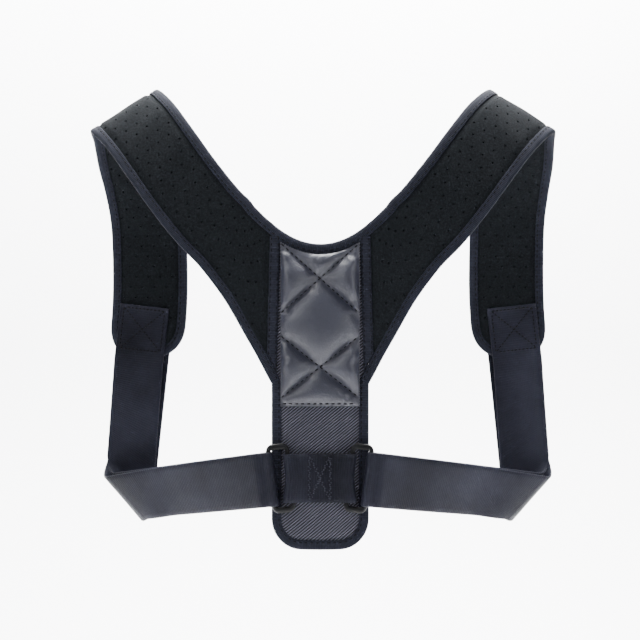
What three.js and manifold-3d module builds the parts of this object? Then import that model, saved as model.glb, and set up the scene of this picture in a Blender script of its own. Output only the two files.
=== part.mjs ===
// A posture corrector, as it is shaped when worn: a padded centre panel on the back, a padded band
// over each shoulder and long webbing from each front tip, under the arm, to a ring on the panel.
// Millimetres, +Z up. X is across the back, the wearer faces +Y, and the origin lies midway between
// the two shoulders, at the height where the bands rest on them.

import * as THREE from 'three';
import { mergeVertices } from 'three/addons/utils/BufferGeometryUtils.js';
import Module from 'manifold-3d';

// Where the pieces lie on the wearer
const shoulderReach = 151;      // from the middle to the centre of each band on the shoulder
const backSetback = 40;         // the back panel's middle plane behind the shoulders
const frontReach = 80;          // the front tips' middle plane before the shoulders
const bandBackDrop = 206;       // shoulder to the foot of the seam on the back
const bandFrontDrop = 190;      // shoulder to the end of the front tip

// The padded bands and the centre panel
const bandWidth = 60.4;
const panelWidth = 71.6;
const padThickness = 4.6;
const hemThickness = 2.4;       // the pad where it is pressed flat under an edge tape
const hemSlope = 3.2;           // the width over which it rises to its full thickness
const seamRise = 0.1;           // how little the padding rises under the seam tape
const tipLength = 30;
const tipRoundness = 2.5;       // exponent of the tip's outline, 2 is an ellipse
const neckDrop = 99.8;          // shoulder to the middle of the neckline
const neckSag = 15.5;           // how far the neckline dips across the panel's width
const seamInset = 2.6;          // at the neckline, the seam's place in from the panel's width lower down
const seamFootDrop = 203;
const seamFan = 1.8;            // how much slower a band's neck edge leaves the seam than its middle
const tongueDrop = 323.5;       // shoulder to the tongue's lower edge
const tongueCorner = 21;
const neckTapeReach = 0.86;     // of the seam's reach, where the neck tape passes onto the bands
const footBlend = 14;           // below the seam's foot, where the band's edge becomes the panel's

// Trim
const clearance = 0.3;
const leastSine = 0.3;          // of a section's angle to its edge, for a sound inset
const sectionStep = 0.033;      // between two sections of a band, as a share of its rows
const tapeThickness = 0.9;
const edgeTapeWidth = 7.2;
const seamTapeWidth = 7.6;
const hemMargin = edgeTapeWidth + 2 * clearance;

// The quilted cover
const quiltFoot = 219.6;        // shoulder to its lower hem
const quiltBase = 1.2;          // thickness along the stitching
const quiltPuff = 4.2;          // how far the filling stands above that
const creaseReach = 9;          // how far a stitch line pulls the filling down

// Webbing and rings
const webbingWidth = 40;
const webbingThickness = 1.4;
const keeperWidth = 35.8;
const keeperThickness = 1.5;
const keeperFlat = 0.42;        // of the way to an inner bar, where it stops being sewn flat
const keeperLoop = 0.68;        // and where it has taken the ring's lean
const keeperRise = 0.86;        // and where its front stands at full height
const keeperEye = 0.7;          // how far inwards the eye round the bar tapers
const ringHeight = 48.8;
const ringSpan = 17.4;
const ringBar = 3.4;
const ringCorner = 3.4;
const ringTilt = 7;             // degrees, the top leaning outwards
const ringDrop = 271.8;
const ringPlace = 28.6;         // from the middle to the ring's centre
const ringLift = 0.6;           // slack between the keeper and the bars it holds
const hookThickness = 1.6;
const hookLength = 52;
const hookInset = 1.5;          // how far it keeps inside the webbing's edges

// The long webbing's route on one side: its end on the tip, the turn under the arm, the way back
const patchDrop = 144.5;
const patchLean = 6.5;          // degrees from upright, outwards going down
const patchOffset = 3.6;        // its middle outwards of the tip's middle
const turnReach = 160.8;
const turnDrop = 282;
const turnFore = 75;            // the start of the turn before the shoulders
const turnRadius = 9;
const turnSteps = 12;
const backTilt = 15;            // degrees, how far the way back first looks down
const backSteps = 8;
const elbowReach = 43.5;        // where it bends from the ring's plane towards the side
const elbowRadius = 8;
const layerGap = 0.7;           // between the two layers on the way back
const barApproach = 0.6;        // of the way from the elbow to the bar, where the layers have parted
const partedShare = 0.8;        // how far apart they are there, of the gap at the bar
const turnGap = 3.4;            // between the two layers in the turn
const returnShift = 3;          // how far the returning layer drifts inwards behind the first

// Middle line of a band, a row for each section, from the seam over the shoulder to the tip.
// out and wide are shares of shoulderReach and bandWidth. back and drop are shares of backSetback
// and bandBackDrop on the back, of frontReach and bandFrontDrop in front. slope is how far the
// section tips down outwards, turn how far its outer end swings forwards, both in degrees.
const backRows = [
  { out: 0.312, back: 1.000, drop: 0.625, slope: 84.5, turn: 0, wide: 1.590 },
  { out: 0.396, back: 1.000, drop: 0.529, slope: 71.5, turn: 0, wide: 1.185 },
  { out: 0.467, back: 0.995, drop: 0.460, slope: 54.0, turn: 0, wide: 1.020 },
  { out: 0.545, back: 0.985, drop: 0.402, slope: 41.0, turn: 0, wide: 1.000 },
  { out: 0.673, back: 0.940, drop: 0.286, slope: 38.5, turn: 0, wide: 1.000 },
  { out: 0.794, back: 0.790, drop: 0.165, slope: 37.5, turn: 0, wide: 1.000 },
  { out: 0.901, back: 0.500, drop: 0.064, slope: 36.5, turn: -3, wide: 1.000 },
];
const ridgeRow = { slope: 34.0, turn: -10, wide: 1.000 };
const frontRows = [
  { out: 1.007, back: 0.265, drop: 0.042, slope: 29.5, turn: -12, wide: 1.000 },
  { out: 1.003, back: 0.540, drop: 0.145, slope: 22.0, turn: -10, wide: 1.000 },
  { out: 0.983, back: 0.760, drop: 0.265, slope: 14.0, turn: -6, wide: 1.000 },
  { out: 0.966, back: 0.910, drop: 0.405, slope: 5.0, turn: -3, wide: 1.000 },
  { out: 0.962, back: 0.980, drop: 0.560, slope: 0.5, turn: -1, wide: 1.005 },
  { out: 0.964, back: 1.000, drop: 0.755, slope: 0.0, turn: 0, wide: 1.010 },
  { out: 0.987, back: 1.000, drop: 1.000, slope: 0.0, turn: 0, wide: 1.010 },
];

// Stitch lines of the quilting, as shares of the cover's half width and of its height
const quiltCrosses = [
  { middle: 0.160, halfRise: 0.230 },
  { middle: 0.740, halfRise: 0.205 },
];

const wasm = await Module();
wasm.setup();

const degrees = Math.PI / 180;
const backward = new THREE.Vector3(0, -1, 0);
const seamHalfTop = panelWidth / 2 - seamInset;
const halfPad = padThickness / 2;
const halfHem = hemThickness / 2;
const halfTape = halfHem + clearance + tapeThickness;
const edgeInset = tapeThickness + clearance;
const ridgeHeight = halfPad / Math.cos(ridgeRow.slope * degrees);
const backPlane = -backSetback;
const backFace = backPlane - halfPad;
const quiltHalf = seamHalfTop - seamTapeWidth / 2 - clearance;

const neckHeight = (x) => -neckDrop + neckSag * (2 * x / panelWidth) ** 2;

// Colours and finishes
const finishes = {
  mesh: { color: 0x17191c, roughness: 0.95, metalness: 0 },
  twill: { color: 0x26262e, roughness: 0.85, metalness: 0 },
  quilt: { color: 0x3c3c46, roughness: 0.45, metalness: 0 },
  tape: { color: 0x2b2d36, roughness: 0.8, metalness: 0 },
  webbing: { color: 0x30313a, roughness: 0.6, metalness: 0 },
  hook: { color: 0x101114, roughness: 0.95, metalness: 0 },
  plastic: { color: 0x0e0f11, roughness: 0.4, metalness: 0 },
};

const group = new THREE.Group();
group.name = 'posture_corrector';

function addPiece(name, geometry, finish) {
  const piece = new THREE.Mesh(geometry, new THREE.MeshStandardMaterial(finishes[finish]));
  piece.name = name;
  group.add(piece);
}

// A closed skin over rings of points, each ring going round the same way. Without its end cap the
// last ring has to be folded flat onto itself.
function skin(rings, { closed = false, endCap = true } = {}) {
  const count = rings[0].length;
  const positions = rings.flat().flatMap((p) => [p.x, p.y, p.z]);
  const faces = [];
  const last = closed ? rings.length : rings.length - 1;
  for (let i = 0; i < last; i++) {
    const a = i * count;
    const b = ((i + 1) % rings.length) * count;
    for (let j = 0; j < count; j++) {
      const k = (j + 1) % count;
      faces.push(a + j, b + j, b + k, a + j, b + k, a + k);
    }
  }
  if (!closed) {
    const base = (rings.length - 1) * count;
    for (const [p, q, r] of THREE.ShapeUtils.triangulateShape(flatOutline(rings[0]), [])) {
      faces.push(p, q, r);
    }
    const end = endCap ? THREE.ShapeUtils.triangulateShape(flatOutline(rings.at(-1)), []) : [];
    for (const [p, q, r] of end) faces.push(base + p, base + r, base + q);
  }
  const geometry = new THREE.BufferGeometry();
  geometry.setAttribute('position', new THREE.Float32BufferAttribute(positions, 3));
  geometry.setIndex(faces);
  return facingOut(welded(geometry));
}

// Merges points that coincide and drops the faces that this closes up
function welded(geometry) {
  geometry.deleteAttribute('normal');
  geometry.deleteAttribute('uv');
  const merged = mergeVertices(geometry, 1e-4);
  const kept = [];
  const { array } = merged.index;
  for (let i = 0; i < array.length; i += 3) {
    const face = [array[i], array[i + 1], array[i + 2]];
    if (new Set(face).size === 3) kept.push(...face);
  }
  merged.setIndex(kept);
  return merged;
}

// A ring of points laid into its own plane, so that it runs anticlockwise there
function flatOutline(ring) {
  const normal = new THREE.Vector3();
  ring.forEach((p, i) => normal.add(new THREE.Vector3().crossVectors(p, ring[(i + 1) % ring.length])));
  normal.normalize();
  const across = ring[1].clone().sub(ring[0]).normalize();
  const along = new THREE.Vector3().crossVectors(normal, across);
  return ring.map((p) => new THREE.Vector2(p.dot(across), p.dot(along)));
}

function enclosedVolume(geometry) {
  const corner = [0, 1, 2].map(() => new THREE.Vector3());
  const { position } = geometry.attributes;
  const { array } = geometry.index;
  let volume = 0;
  for (let i = 0; i < array.length; i += 3) {
    corner.forEach((c, n) => c.fromBufferAttribute(position, array[i + n]));
    volume += corner[0].dot(corner[1].clone().cross(corner[2])) / 6;
  }
  return volume;
}

// Turns every face over where the skin was laid inside out
function facingOut(geometry) {
  if (enclosedVolume(geometry) < 0) {
    const { array } = geometry.index;
    for (let i = 0; i < array.length; i += 3) [array[i], array[i + 1]] = [array[i + 1], array[i]];
  }
  return geometry;
}

function toSolid(geometry) {
  const merged = welded(geometry.clone());
  return new wasm.Manifold(new wasm.Mesh({
    numProp: 3,
    vertProperties: new Float32Array(merged.attributes.position.array),
    triVerts: new Uint32Array(merged.index.array),
  }));
}

function toGeometry(solid) {
  const mesh = solid.getMesh();
  const geometry = new THREE.BufferGeometry();
  geometry.setAttribute('position', new THREE.Float32BufferAttribute(mesh.vertProperties, 3));
  geometry.setIndex(Array.from(mesh.triVerts));
  return geometry;
}

// The sections of a band's middle surface: side is -1 for the wearer's left and 1 for the right
function bandSections(side) {
  const seamTop = new THREE.Vector3(seamHalfTop + clearance / 2, backPlane, 0);
  seamTop.z = neckHeight(seamTop.x);
  const seamFoot = new THREE.Vector3(panelWidth / 2, backPlane, -seamFootDrop);
  const seam = seamFoot.clone().sub(seamTop);
  const rows = [{
    middle: seamTop.clone().add(seamFoot).multiplyScalar(0.5),
    spread: new THREE.Vector3(Math.atan2(-seam.z, seam.x) / degrees, 0, seam.length()),
  }];
  const addRow = (out, fore, height, { slope, turn, wide }) => rows.push({
    middle: new THREE.Vector3(out * shoulderReach, fore, ridgeHeight + height),
    spread: new THREE.Vector3(slope, turn, wide * bandWidth),
  });
  for (const row of backRows) addRow(row.out, -row.back * backSetback, -row.drop * bandBackDrop, row);
  addRow(1, 0, 0, ridgeRow);
  for (const row of frontRows) addRow(row.out, row.back * frontReach, -row.drop * bandFrontDrop, row);
  const middleLine = new THREE.CatmullRomCurve3(rows.map((row) => row.middle));
  const spreadLine = new THREE.CatmullRomCurve3(rows.map((row) => row.spread));

  const section = (t, narrowing) => {
    const middle = middleLine.getPoint(t);
    const along = middleLine.getTangent(t);
    const spread = spreadLine.getPoint(t);
    const [slope, turn] = [spread.x * degrees, spread.y * degrees];
    const outwards = new THREE.Vector3(
      Math.cos(slope) * Math.cos(turn), Math.sin(turn), -Math.sin(slope) * Math.cos(turn));
    const half = outwards.clone().multiplyScalar(narrowing * spread.z / 2);
    return { middle, along, outwards, neck: middle.clone().sub(half), rim: middle.clone().add(half) };
  };

  const total = middleLine.getLength();
  const tipStart = 1 - tipLength / total;
  const shareAt = (length) => middleLine.getUtoTmapping(length);
  // The pad stays pressed flat beside the seam, under the seam tape
  const hemEnd = seamFan * (seamTapeWidth / 2 + 2 * clearance) / total;
  const fullStart = hemEnd + seamFan * hemSlope / total;
  const sections = [{ ...section(0, 1), full: 0 }, { ...section(shareAt(hemEnd), 1), full: 0 }];
  // Sections lie closer together where the band bends over the shoulder
  const ridgeAt = (backRows.length + 1) / (rows.length - 1);
  const stepAt = (t) => sectionStep * (1 - 0.6 * Math.exp(-(((t - ridgeAt) / 0.08) ** 2)));
  for (let t = shareAt(fullStart); t < shareAt(tipStart) - sectionStep / 3; t += stepAt(t)) {
    sections.push({ ...section(t, 1), full: 1 });
  }
  const tipSteps = 8;
  for (let i = 0; i <= tipSteps; i++) {
    const angle = (i / tipSteps) * Math.PI / 2;
    const reach = Math.sin(angle) ** (2 / tipRoundness);
    const narrowing = i === tipSteps ? 0 : Math.cos(angle) ** (2 / tipRoundness);
    const share = shareAt(tipStart + reach * (1 - tipStart));
    sections.push({ ...section(share, narrowing), full: 1, inTip: true });
  }
  for (const s of sections) {
    for (const v of [s.middle, s.along, s.outwards, s.neck, s.rim]) v.x *= side;
  }
  addInwards(sections, 'neck', side);
  addInwards(sections, 'rim', side);
  return sections;
}

// For one edge of a band: the way its surface faces there, the way in that crosses the edge
// squarely, and the way in that follows the section
function addInwards(sections, edge, side) {
  sections.forEach((s, i) => {
    const before = sections[Math.max(i - 1, 0)][edge];
    const after = sections[Math.min(i + 1, sections.length - 1)][edge];
    const run = s.inTip ? s.along : after.clone().sub(before).normalize();
    const outer = new THREE.Vector3().crossVectors(run, s.outwards).normalize().multiplyScalar(-side);
    const edgeRun = after.clone().sub(before).normalize();
    const inwards = new THREE.Vector3().crossVectors(edgeRun, outer).normalize();
    const toMiddle = edge === 'neck' ? s.outwards : s.outwards.clone().negate();
    if (s === sections.at(-1)) inwards.copy(s.along).negate();
    else if (inwards.dot(toMiddle) < 0) inwards.negate();
    const along = toMiddle.clone().divideScalar(Math.max(inwards.dot(toMiddle), leastSine));
    s[`${edge}Outer`] = outer;
    s[`${edge}In`] = inwards;
    s[`${edge}Along`] = s.inTip ? inwards : along;
  });
}

// A band of padding, thin under its edge tapes and full between them
function bandPad(sections) {
  const rings = sections.map((s) => {
    const from = (edge, inset, height) => s[edge].clone()
      .addScaledVector(s[`${edge}Along`], inset).addScaledVector(s[`${edge}Outer`], height);
    const height = s.full ? halfPad : halfHem + seamRise;
    const face = (sign) => [
      from('neck', edgeInset, sign * halfHem),
      from('neck', hemMargin, sign * halfHem),
      from('neck', hemMargin + hemSlope, sign * height),
      from('rim', hemMargin + hemSlope, sign * height),
      from('rim', hemMargin, sign * halfHem),
      from('rim', edgeInset, sign * halfHem),
    ];
    return [...face(1), ...face(-1).reverse()];
  });
  return skin(rings, { endCap: false });
}

// The way in from an edge at each point of a path, square to the path
function squared(path) {
  return path.map((entry, i) => {
    if (i === 0 || i === path.length - 1) return entry;
    const run = path[i + 1].point.clone().sub(path[i - 1].point);
    const inwards = new THREE.Vector3().crossVectors(run, entry.outer).normalize();
    if (inwards.dot(entry.inwards) < 0) inwards.negate();
    return { ...entry, inwards };
  });
}

// Folded edge tape: its section is laid across the edge at each point of the path
function edgeTape(path) {
  const outline = [
    [edgeTapeWidth, halfTape], [1.3, halfTape], [0, 0.5 * halfTape],
    [0, -0.5 * halfTape], [1.3, -halfTape], [edgeTapeWidth, -halfTape],
    [edgeTapeWidth, tapeThickness - halfTape], [tapeThickness, tapeThickness - halfTape],
    [tapeThickness, halfTape - tapeThickness], [edgeTapeWidth, halfTape - tapeThickness],
  ];
  return skin(path.map(({ point, inwards, outer }) => outline.map(([inset, height]) =>
    point.clone().addScaledVector(inwards, inset).addScaledVector(outer, height))));
}

// An edge of a band as a path for its tape, which stops just short of the tip's middle
function bandEdge(sections, edge) {
  const path = sections.map((s) => ({ point: s[edge], inwards: s[`${edge}In`], outer: s[`${edge}Outer`] }));
  const stop = sections.at(-1).outwards.clone().multiplyScalar((edge === 'neck' ? -1 : 1) * clearance / 2);
  path.at(-1).point = path.at(-1).point.clone().add(stop);
  return path;
}

// A stretch of edge on the flat centre panel, through points taken in order
function panelEdge(points, centre) {
  return points.map((point, i) => {
    const before = points[Math.max(i - 1, 0)];
    const after = points[Math.min(i + 1, points.length - 1)];
    const run = after.clone().sub(before);
    const inwards = new THREE.Vector3().crossVectors(run, backward).normalize();
    if (inwards.dot(centre.clone().sub(point)) < 0) inwards.negate();
    return { point, inwards, outer: backward };
  });
}

const onPanel = (x, z) => new THREE.Vector3(x, backPlane, z);

// The neckline between the two seams
function necklinePoints() {
  const steps = 9;
  const reach = seamHalfTop * neckTapeReach;
  return Array.from({ length: steps + 1 }, (_, i) => {
    const x = reach * (2 * i / steps - 1);
    return onPanel(x, neckHeight(x));
  });
}

// Down one side of the tongue, round its corners and up the other side
function tonguePoints() {
  const half = panelWidth / 2;
  const [top, below] = [-seamFootDrop - footBlend, -seamFootDrop - 3.5 * footBlend];
  const points = [onPanel(-half, top), onPanel(-half, below)];
  const steps = 6;
  for (const side of [-1, 1]) {
    for (let i = 0; i <= steps; i++) {
      const angle = (side < 0 ? i / steps : 1 - i / steps) * Math.PI / 2;
      points.push(onPanel(
        side * (half - tongueCorner * (1 - Math.cos(angle))),
        -tongueDrop + tongueCorner * (1 - Math.sin(angle))));
    }
  }
  points.push(onPanel(half, below), onPanel(half, top));
  return points;
}

// The centre panel's outline, inset from the edge that the tapes give it
function panelOutline(inset) {
  const half = panelWidth / 2 - inset;
  const corner = Math.max(tongueCorner - inset, 1);
  const foot = -tongueDrop + inset;
  const seamShift = clearance / 2;
  const topInset = Math.max(inset - edgeInset, 0);
  const seamTop = seamHalfTop - seamShift - topInset;
  const shape = new THREE.Shape();
  const steps = 12;
  // The neckline's steepest slope sets how far down its inset goes
  const neckInset = inset / Math.cos(Math.atan(4 * neckSag / panelWidth * neckTapeReach));
  for (let i = 0; i <= steps; i++) {
    const x = seamTop * (1 - 2 * i / steps);
    const y = neckHeight(x) - neckInset;
    if (i === 0) shape.moveTo(x, y);
    else shape.lineTo(x, y);
  }
  shape.lineTo(-half, -seamFootDrop - inset);
  shape.lineTo(-half, foot + corner);
  shape.absarc(-half + corner, foot + corner, corner, Math.PI, 1.5 * Math.PI, false);
  shape.absarc(half - corner, foot + corner, corner, 1.5 * Math.PI, 2 * Math.PI, false);
  shape.lineTo(half, -seamFootDrop - inset);
  return shape;
}

// A plate in the panel's plane, from one distance to another behind the shoulders
function panelPlate(shape, from, to, curveSegments = 5) {
  const plate = new THREE.ExtrudeGeometry(shape, { depth: to - from, bevelEnabled: false, curveSegments });
  plate.rotateX(Math.PI / 2);
  plate.translate(0, to, 0);
  return plate;
}

function spinePanel() {
  const hem = toSolid(panelPlate(panelOutline(edgeInset), backPlane - halfHem, backPlane + halfHem));
  const full = toSolid(panelPlate(panelOutline(hemMargin + hemSlope / 2), backFace, backPlane + halfPad));
  return toGeometry(hem.add(full));
}

// The puffed cover: a grid that sinks along its stitch lines and its edges, on a flat back
function quiltedPanel() {
  const columns = 18;
  const rows = 34;
  const headInset = edgeTapeWidth + clearance;
  const foot = -quiltFoot;
  const head = (x) => neckHeight(x) - headInset / Math.cos(Math.atan(8 * neckSag * x / panelWidth ** 2));
  const height = head(0) - foot;
  const seat = backFace - clearance;
  const creases = quiltCrosses.flatMap(({ middle, halfRise }) => [-1, 1].map((lean) => ({
    from: new THREE.Vector2(-quiltHalf, head(0) - (middle - lean * halfRise) * height),
    to: new THREE.Vector2(quiltHalf, head(0) - (middle + lean * halfRise) * height),
  })));
  const puffAt = (x, z) => {
    const point = new THREE.Vector2(x, z);
    let pull = Math.min(quiltHalf - Math.abs(x), head(x) - z, z - foot);
    for (const { from, to } of creases) {
      const way = to.clone().sub(from);
      const share = THREE.MathUtils.clamp(point.clone().sub(from).dot(way) / way.lengthSq(), 0, 1);
      pull = Math.min(pull, point.distanceTo(from.clone().addScaledVector(way, share)));
    }
    return quiltBase + quiltPuff * Math.sqrt(Math.sin(Math.min(pull / creaseReach, 1) * Math.PI / 2));
  };
  const grid = [];
  for (let j = 0; j <= rows; j++) {
    for (let i = 0; i <= columns; i++) {
      const x = quiltHalf * (2 * i / columns - 1);
      const z = head(x) + (foot - head(x)) * j / rows;
      grid.push(new THREE.Vector3(x, seat - puffAt(x, z), z));
    }
  }
  const at = (i, j) => j * (columns + 1) + i;
  const faces = [];
  for (let j = 0; j < rows; j++) {
    for (let i = 0; i < columns; i++) {
      faces.push(at(i, j), at(i, j + 1), at(i + 1, j + 1), at(i, j), at(i + 1, j + 1), at(i + 1, j));
    }
  }
  const rim = [];
  for (let i = 0; i < columns; i++) rim.push(at(i, 0));
  for (let j = 0; j < rows; j++) rim.push(at(columns, j));
  for (let i = columns; i > 0; i--) rim.push(at(i, rows));
  for (let j = rows; j > 0; j--) rim.push(at(0, j));
  const base = grid.length;
  for (const n of rim) grid.push(new THREE.Vector3(grid[n].x, seat, grid[n].z));
  rim.forEach((n, i) => {
    const k = (i + 1) % rim.length;
    faces.push(n, rim[k], base + k, n, base + k, base + i);
  });
  const flat = rim.map((n) => new THREE.Vector2(grid[n].x, grid[n].z));
  for (const [p, q, r] of THREE.ShapeUtils.triangulateShape(flat, [])) {
    faces.push(base + p, base + r, base + q);
  }
  const geometry = new THREE.BufferGeometry();
  geometry.setAttribute('position', new THREE.Float32BufferAttribute(grid.flatMap((p) => p.toArray()), 3));
  geometry.setIndex(faces);
  return facingOut(geometry);
}

// A flat tape over the joint of panel and band, in the space that the two edge tapes leave
function seamTape(side, neckPath, outerPath) {
  const half = seamTapeWidth / 2;
  const head = new THREE.Vector2(seamHalfTop, neckHeight(seamHalfTop));
  const foot = new THREE.Vector2(panelWidth / 2, -seamFootDrop);
  const strip = new THREE.Shape([
    new THREE.Vector2(side * (head.x - half), head.y + half),
    new THREE.Vector2(side * (foot.x - half), foot.y),
    new THREE.Vector2(side * (foot.x + half), foot.y),
    new THREE.Vector2(side * (head.x + half), head.y + half),
  ]);
  const near = ({ point }) => point.x * side > 0 && point.x * side < 2 * seamHalfTop
    && point.y < backPlane + clearance;
  const inside = ({ point, inwards }) => point.clone().addScaledVector(inwards, edgeTapeWidth + clearance);
  const flat = (p) => new THREE.Vector2(p.x, p.z);
  const space = new THREE.Shape([
    new THREE.Vector2(0, -quiltFoot), new THREE.Vector2(0, -neckDrop - edgeTapeWidth),
    ...neckPath.filter(near).map(inside).map(flat).sort((p, q) => (p.x - q.x) * side),
    ...outerPath.filter(near).map(inside).map(flat).filter((p) => p.y > -quiltFoot)
      .sort((p, q) => (q.x - p.x) * side),
  ]);
  const from = backPlane - halfTape;
  const tape = toSolid(panelPlate(strip, from, from + tapeThickness));
  return toGeometry(tape.intersect(toSolid(panelPlate(space, from - 1, from + tapeThickness + 1))));
}

// Where the keeper's layers and the ring bars lie in front of the panel
const keeperSeat = backFace - clearance;
const barFore = keeperSeat - keeperThickness - ringLift / 2 - clearance / 2 - ringBar / 2;
const innerBar = ringPlace - ringSpan / 2 + ringBar / 2;
const outerBar = ringPlace + ringSpan / 2 - ringBar / 2;

// Short webbing sewn flat in its middle and looped round both inner bars
function keeperWebbing() {
  const eyeRadius = ringBar / 2 + ringLift / 2 + clearance / 2;
  const outerRadius = eyeRadius + keeperThickness;
  const middleDepth = keeperSeat - barFore;
  const shape = new THREE.Shape();
  const flatHalf = innerBar * keeperFlat;
  const flatFront = 2 * keeperThickness;
  shape.absarc(innerBar, middleDepth, outerRadius, -Math.PI / 2, Math.PI / 2, false);
  shape.lineTo(innerBar * keeperRise, middleDepth + outerRadius);
  shape.lineTo(flatHalf, flatFront);
  shape.lineTo(-flatHalf, flatFront);
  shape.lineTo(-innerBar * keeperRise, middleDepth + outerRadius);
  shape.absarc(-innerBar, middleDepth, outerRadius, Math.PI / 2, 1.5 * Math.PI, false);
  for (const side of [-1, 1]) {
    const eye = new THREE.Path();
    eye.absarc(side * innerBar, middleDepth, eyeRadius, Math.PI / 2, -Math.PI / 2, side > 0);
    eye.lineTo(side * innerBar * keeperEye, middleDepth - keeperEye * eyeRadius);
    shape.holes.push(eye);
  }
  const options = { depth: keeperWidth, bevelEnabled: false, curveSegments: 5 };
  const strip = new THREE.ExtrudeGeometry(shape, options);
  // The profile's depth runs out of the panel's back face, and its length across the back
  strip.applyMatrix4(new THREE.Matrix4().makeBasis(
    new THREE.Vector3(1, 0, 0), backward, new THREE.Vector3(0, 0, -1)));
  strip.translate(0, keeperSeat, -ringDrop + keeperWidth / 2);
  // Its looped ends follow the lean of the rings
  const { position } = strip.attributes;
  for (let i = 0; i < position.count; i++) {
    const [x, z] = [position.getX(i), position.getZ(i)];
    const share = THREE.MathUtils.clamp((Math.abs(x) - flatHalf) / (keeperLoop * innerBar - flatHalf), 0, 1);
    position.setX(i, x + Math.sign(x) * share * (z + ringDrop) * Math.tan(ringTilt * degrees));
  }
  return facingOut(welded(strip));
}

// A rectangular ring of round bar with rounded corners
function ring(side) {
  const halfSpan = (ringSpan - ringBar) / 2;
  const halfHeight = (ringHeight - ringBar) / 2;
  const steps = 4;
  const path = [];
  const corners = [[1, 1, 0], [-1, 1, 1], [-1, -1, 2], [1, -1, 3]];
  for (const [sx, sz, quarter] of corners) {
    for (let i = 0; i <= steps; i++) {
      const angle = (quarter + i / steps) * Math.PI / 2;
      const reach = new THREE.Vector3(Math.cos(angle), 0, Math.sin(angle));
      const centre = new THREE.Vector3(sx * (halfSpan - ringCorner), 0, sz * (halfHeight - ringCorner));
      path.push({ centre: centre.addScaledVector(reach, ringCorner), reach });
    }
  }
  const sides = 8;
  const rings = path.map(({ centre, reach }) => Array.from({ length: sides }, (_, i) => {
    const angle = 2 * Math.PI * (i + 0.5) / sides;
    return centre.clone().addScaledVector(reach, Math.cos(angle) * ringBar / 2)
      .addScaledVector(backward, Math.sin(angle) * ringBar / 2);
  }));
  const geometry = skin(rings, { closed: true });
  geometry.rotateY(side * ringTilt * degrees);
  geometry.translate(side * ringPlace, barFore, -ringDrop);
  return geometry;
}

// A frame on the webbing: the way it runs, the way its outer face looks, and its place
function frameOf(place, along, face) {
  const run = along.clone().normalize();
  const outer = face.clone().addScaledVector(run, -face.dot(run)).normalize();
  const across = new THREE.Vector3().crossVectors(run, outer);
  const basis = new THREE.Matrix4().makeBasis(run, outer, across);
  const turn = new THREE.Quaternion().setFromRotationMatrix(basis);
  return { place: place.clone(), turn };
}

const runOf = (frame) => new THREE.Vector3(1, 0, 0).applyQuaternion(frame.turn);
const faceOf = (frame) => new THREE.Vector3(0, 1, 0).applyQuaternion(frame.turn);
const acrossOf = (frame) => new THREE.Vector3(0, 0, 1).applyQuaternion(frame.turn);

// A bend that turns one frame into another at an even rate, as webbing rolls round a cylinder.
// Its sections slant with the cylinder, so that the webbing lies flat along them.
function bend(start, endTurn, radius, steps) {
  const from = start.turn;
  const between = from.clone().invert().premultiply(endTurn);
  if (between.w < 0) between.set(-between.x, -between.y, -between.z, -between.w);
  const angle = 2 * Math.acos(Math.min(between.w, 1));
  const axis = new THREE.Vector3(between.x, between.y, between.z).normalize();
  const climb = Math.abs(axis.dot(runOf(start)));
  const step = radius * angle / Math.sqrt(Math.max(1 - climb * climb, 0.04)) / steps;
  const slant = axis.dot(runOf(start)) / axis.dot(acrossOf(start));
  const frames = [{ ...start, slant }];
  const place = start.place.clone();
  for (let i = 1; i <= steps; i++) {
    const half = from.clone().slerp(endTurn, (i - 0.5) / steps);
    place.addScaledVector(new THREE.Vector3(1, 0, 0).applyQuaternion(half), step);
    frames.push({ place: place.clone(), turn: from.clone().slerp(endTurn, i / steps), slant });
  }
  return frames;
}

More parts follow.
